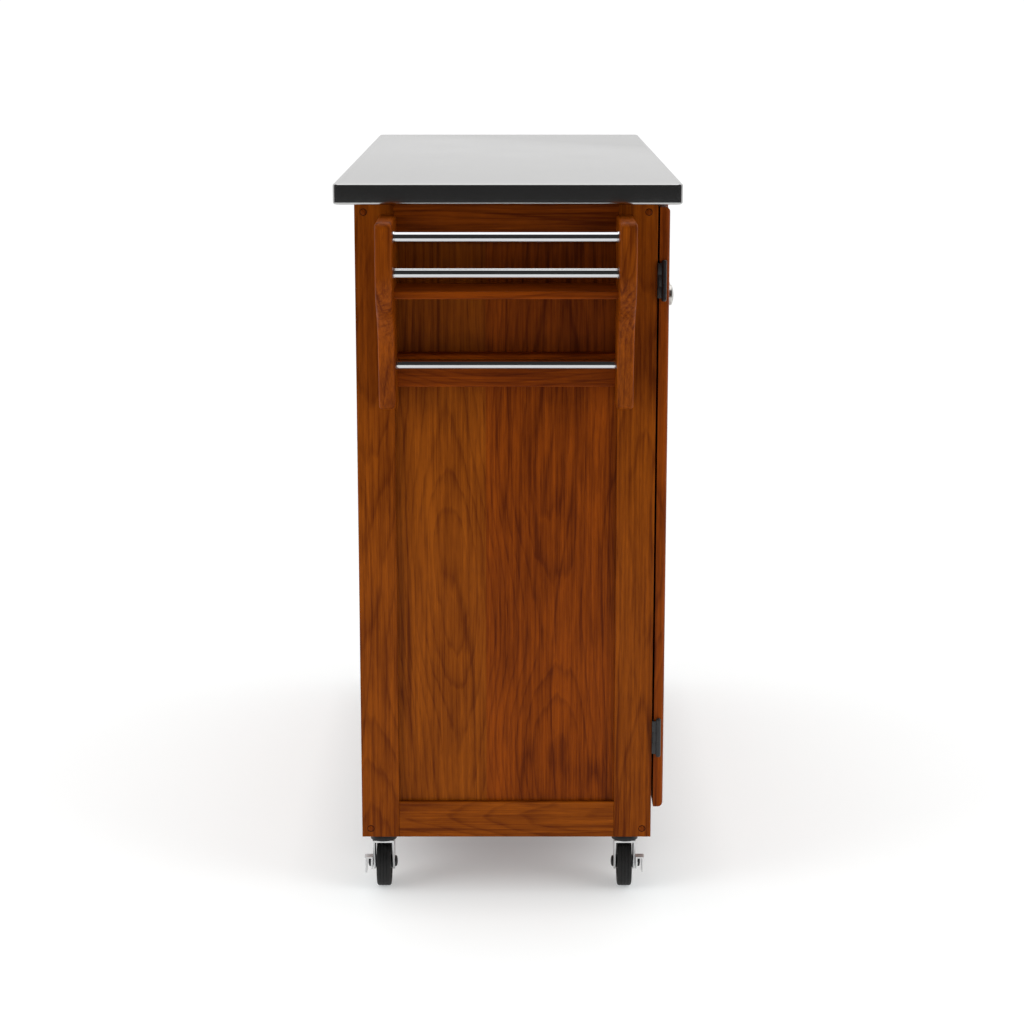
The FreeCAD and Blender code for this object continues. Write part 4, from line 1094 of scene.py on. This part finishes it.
# %% Hub ribs
def ribs_recipe():
    tree = Recipe("ribs", {"Count": (WHOLE, 6), "Inner": (FLOAT, 0.009), "Outer": (FLOAT, 0.019),
                           "Thickness": (FLOAT, 0.0016), "Depth": (FLOAT, 0.004)})
    inner, outer = tree.input("Inner"), tree.input("Outer")
    ring = tree.node("GeometryNodeMeshCircle", None,
                     {"Vertices": tree.input("Count"), "Radius": (inner + outer) * 0.5})
    outward = tree.node("GeometryNodeInputPosition")
    turned = tree.node("FunctionNodeAlignRotationToVector", {"axis": "X"}, {"Vector": outward})
    size = tree.node("ShaderNodeCombineXYZ", None,
                     {0: outer - inner, 1: tree.input("Thickness"), 2: tree.input("Depth")})
    block = tree.node("GeometryNodeMeshCube", None, {"Size": size})
    star = tree.node("GeometryNodeInstanceOnPoints", None,
                     {"Points": ring, "Instance": block, "Rotation": turned})
    upright = tree.node("GeometryNodeInstanceOnPoints", None,
                        {"Points": tree.input("Geometry"), "Instance": star,
                         "Rotation": (math.pi / 2, 0, 0)})
    tree.end(upright)
    return tree


ribs = ribs_recipe()
RIBS, RIB_DEPTH, RIB_THICKNESS, RIB_MIDDLE = 6, 3.6 * MM, 1.6 * MM, 4.8 * MM
for corner, (centre, rim, boss) in wheels.items():
    places = [centre + Vector((0, side * RIB_MIDDLE, 0)) for side in (-1, 1)]
    mesh = run_recipe(ribs, corner + "_ribs", places,
                      {"Count": RIBS, "Inner": boss - 0.4 * MM, "Outer": rim + 0.3 * MM,
                       "Thickness": RIB_THICKNESS, "Depth": RIB_DEPTH, "Material": plastic})
    add_object(corner + "_hub_ribs", mesh, plastic, corner + "_wheel")
print("ribs:", 2 * RIBS * len(wheels))

# %% [markdown]
# ## Stage and light
#
# A pale floor that glows a little by itself; its glow is lower under the cart, a painted shadow. One
# large soft lamp hangs overhead, one stands at each side, and a faint one lies low before the rack
# end. Only the lamp overhead is seen in reflections. The sky is bright all round, a little weaker low
# beyond the cart, about half as strong straight above except to mirrored rays, and almost dark on the
# camera's side. So the polished end face shows dark, while the worktop, which mirrors the far side, is
# bright. The dark patch is wider for mirrored rays. The camera itself sees an even white sky.

# %% Floor, lights and sky
def build_floor():
    """A round pale floor that fades out at its rim."""
    reach, fade = 3.4, 1.6
    shape = bmesh.new()
    bmesh.ops.create_circle(shape, cap_ends=True, segments=96, radius=reach)
    mesh = as_mesh(shape, "floor")
    floor = bpy.data.objects.new("floor", mesh)
    bpy.context.scene.collection.objects.link(floor)
    make = Finish("pale_floor")
    mottle = make.noise(make.place(), (3, 3, 3), 3)
    colour = make.blend(mottle, (0.69, 0.70, 0.70), (0.72, 0.73, 0.73))
    distance = make.node("ShaderNodeVectorMath", {"operation": "LENGTH"}, {0: make.place()}, output="Value")
    solid = ((reach - distance) / fade).clamped()
    along, across = [make.node("ShaderNodeSeparateXYZ", None, {0: make.place()}, output=part)
                     for part in range(2)]
    # Painted shadow: the floor's emission is lower under the cart, so a shadow is painted into its glow.
    painted_floor_shadow = ((along + 0.56) * 3.5).clamped() * ((0.62 - along) * 4).clamped()
    painted_floor_shadow = painted_floor_shadow * ((0.30 - abs(across)) * 5).clamped()
    glow = make.blend(painted_floor_shadow, (0.43, 0.44, 0.44), (0.18, 0.195, 0.20))
    mesh.materials.append(make.finish(colour, 0.6 + mottle * 0.1,
                                      varying={"Alpha": solid, "Emission Color": glow},
                                      Specular_IOR_Level=0.1, Emission_Strength=1.0))
    floor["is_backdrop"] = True


def area_light(name, place, target, size, power, mirrored=True):
    """A square lamp, size across and power in watts, that faces its target."""
    data = bpy.data.lights.new(name, "AREA")
    data.shape, data.size, data.energy = "SQUARE", size, power
    lamp = bpy.data.objects.new(name, data)
    lamp.location = place
    lamp.rotation_euler = (Vector(target) - Vector(place)).to_track_quat("-Z", "Y").to_euler()
    lamp.visible_glossy = mirrored
    bpy.context.scene.collection.objects.link(lamp)


def build_sky():
    """A sky of soft-edged factors: each is 1 where it applies and falls to 0 at its edge."""
    world = bpy.data.worlds.new("studio")
    world.use_nodes = True
    bpy.context.scene.world = world
    sky = Graph(world.node_tree)
    sky.tree.nodes.clear()
    ray = sky.node("ShaderNodeTexCoord", output="Generated")
    ahead, aside, upward = [sky.node("ShaderNodeSeparateXYZ", None, {0: ray}, output=part)
                            for part in range(3)]
    mirrored = sky.node("ShaderNodeLightPath", output="Is Glossy Ray")
    towards = ((-0.20 + mirrored * 0.50 - ahead) * 6).clamped()
    narrow = ((0.70 + mirrored * 0.50 - abs(aside)) * 6).clamped()
    lower = ((0.84 + mirrored * 0.13 - upward) * 9).clamped()
    doorway = towards * narrow * lower
    beyond = ((ahead - 0.3) * 3).clamped() * ((0.5 - upward) * 3).clamped()
    zenith = ((upward - 0.62) * 4).clamped() * (1 - mirrored)
    glow = (1.15 - beyond * 0.30) * (1 - doorway * 0.965) * (1 - zenith * 0.55)
    seen = sky.node("ShaderNodeLightPath", output="Is Camera Ray")
    strength = glow + seen * (1.05 - glow)
    light = sky.node("ShaderNodeBackground", None, {"Color": (1, 1, 1, 1), "Strength": strength})
    sky.node("ShaderNodeOutputWorld", None, {"Surface": light})


build_floor()
build_sky()
area_light("overhead", (-0.05, 0, 3.0), (0, 0, 0.4), 2.6, 18)
area_light("left_side", (-1.8, 2.6, 1.3), (-0.5, 0, 0.4), 1.6, 24, mirrored=False)
area_light("right_side", (-1.8, -2.6, 1.3), (-0.5, 0, 0.4), 1.6, 22, mirrored=False)
area_light("low_front", (-2.4, 0, 0.35), (-0.6, 0, -0.2), 0.9, 2.5, mirrored=False)
print("stage set")

# %% Sizes and the end
low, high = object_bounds()
print("visual box", [round(v, 4) for v in low], [round(v, 4) for v in high])
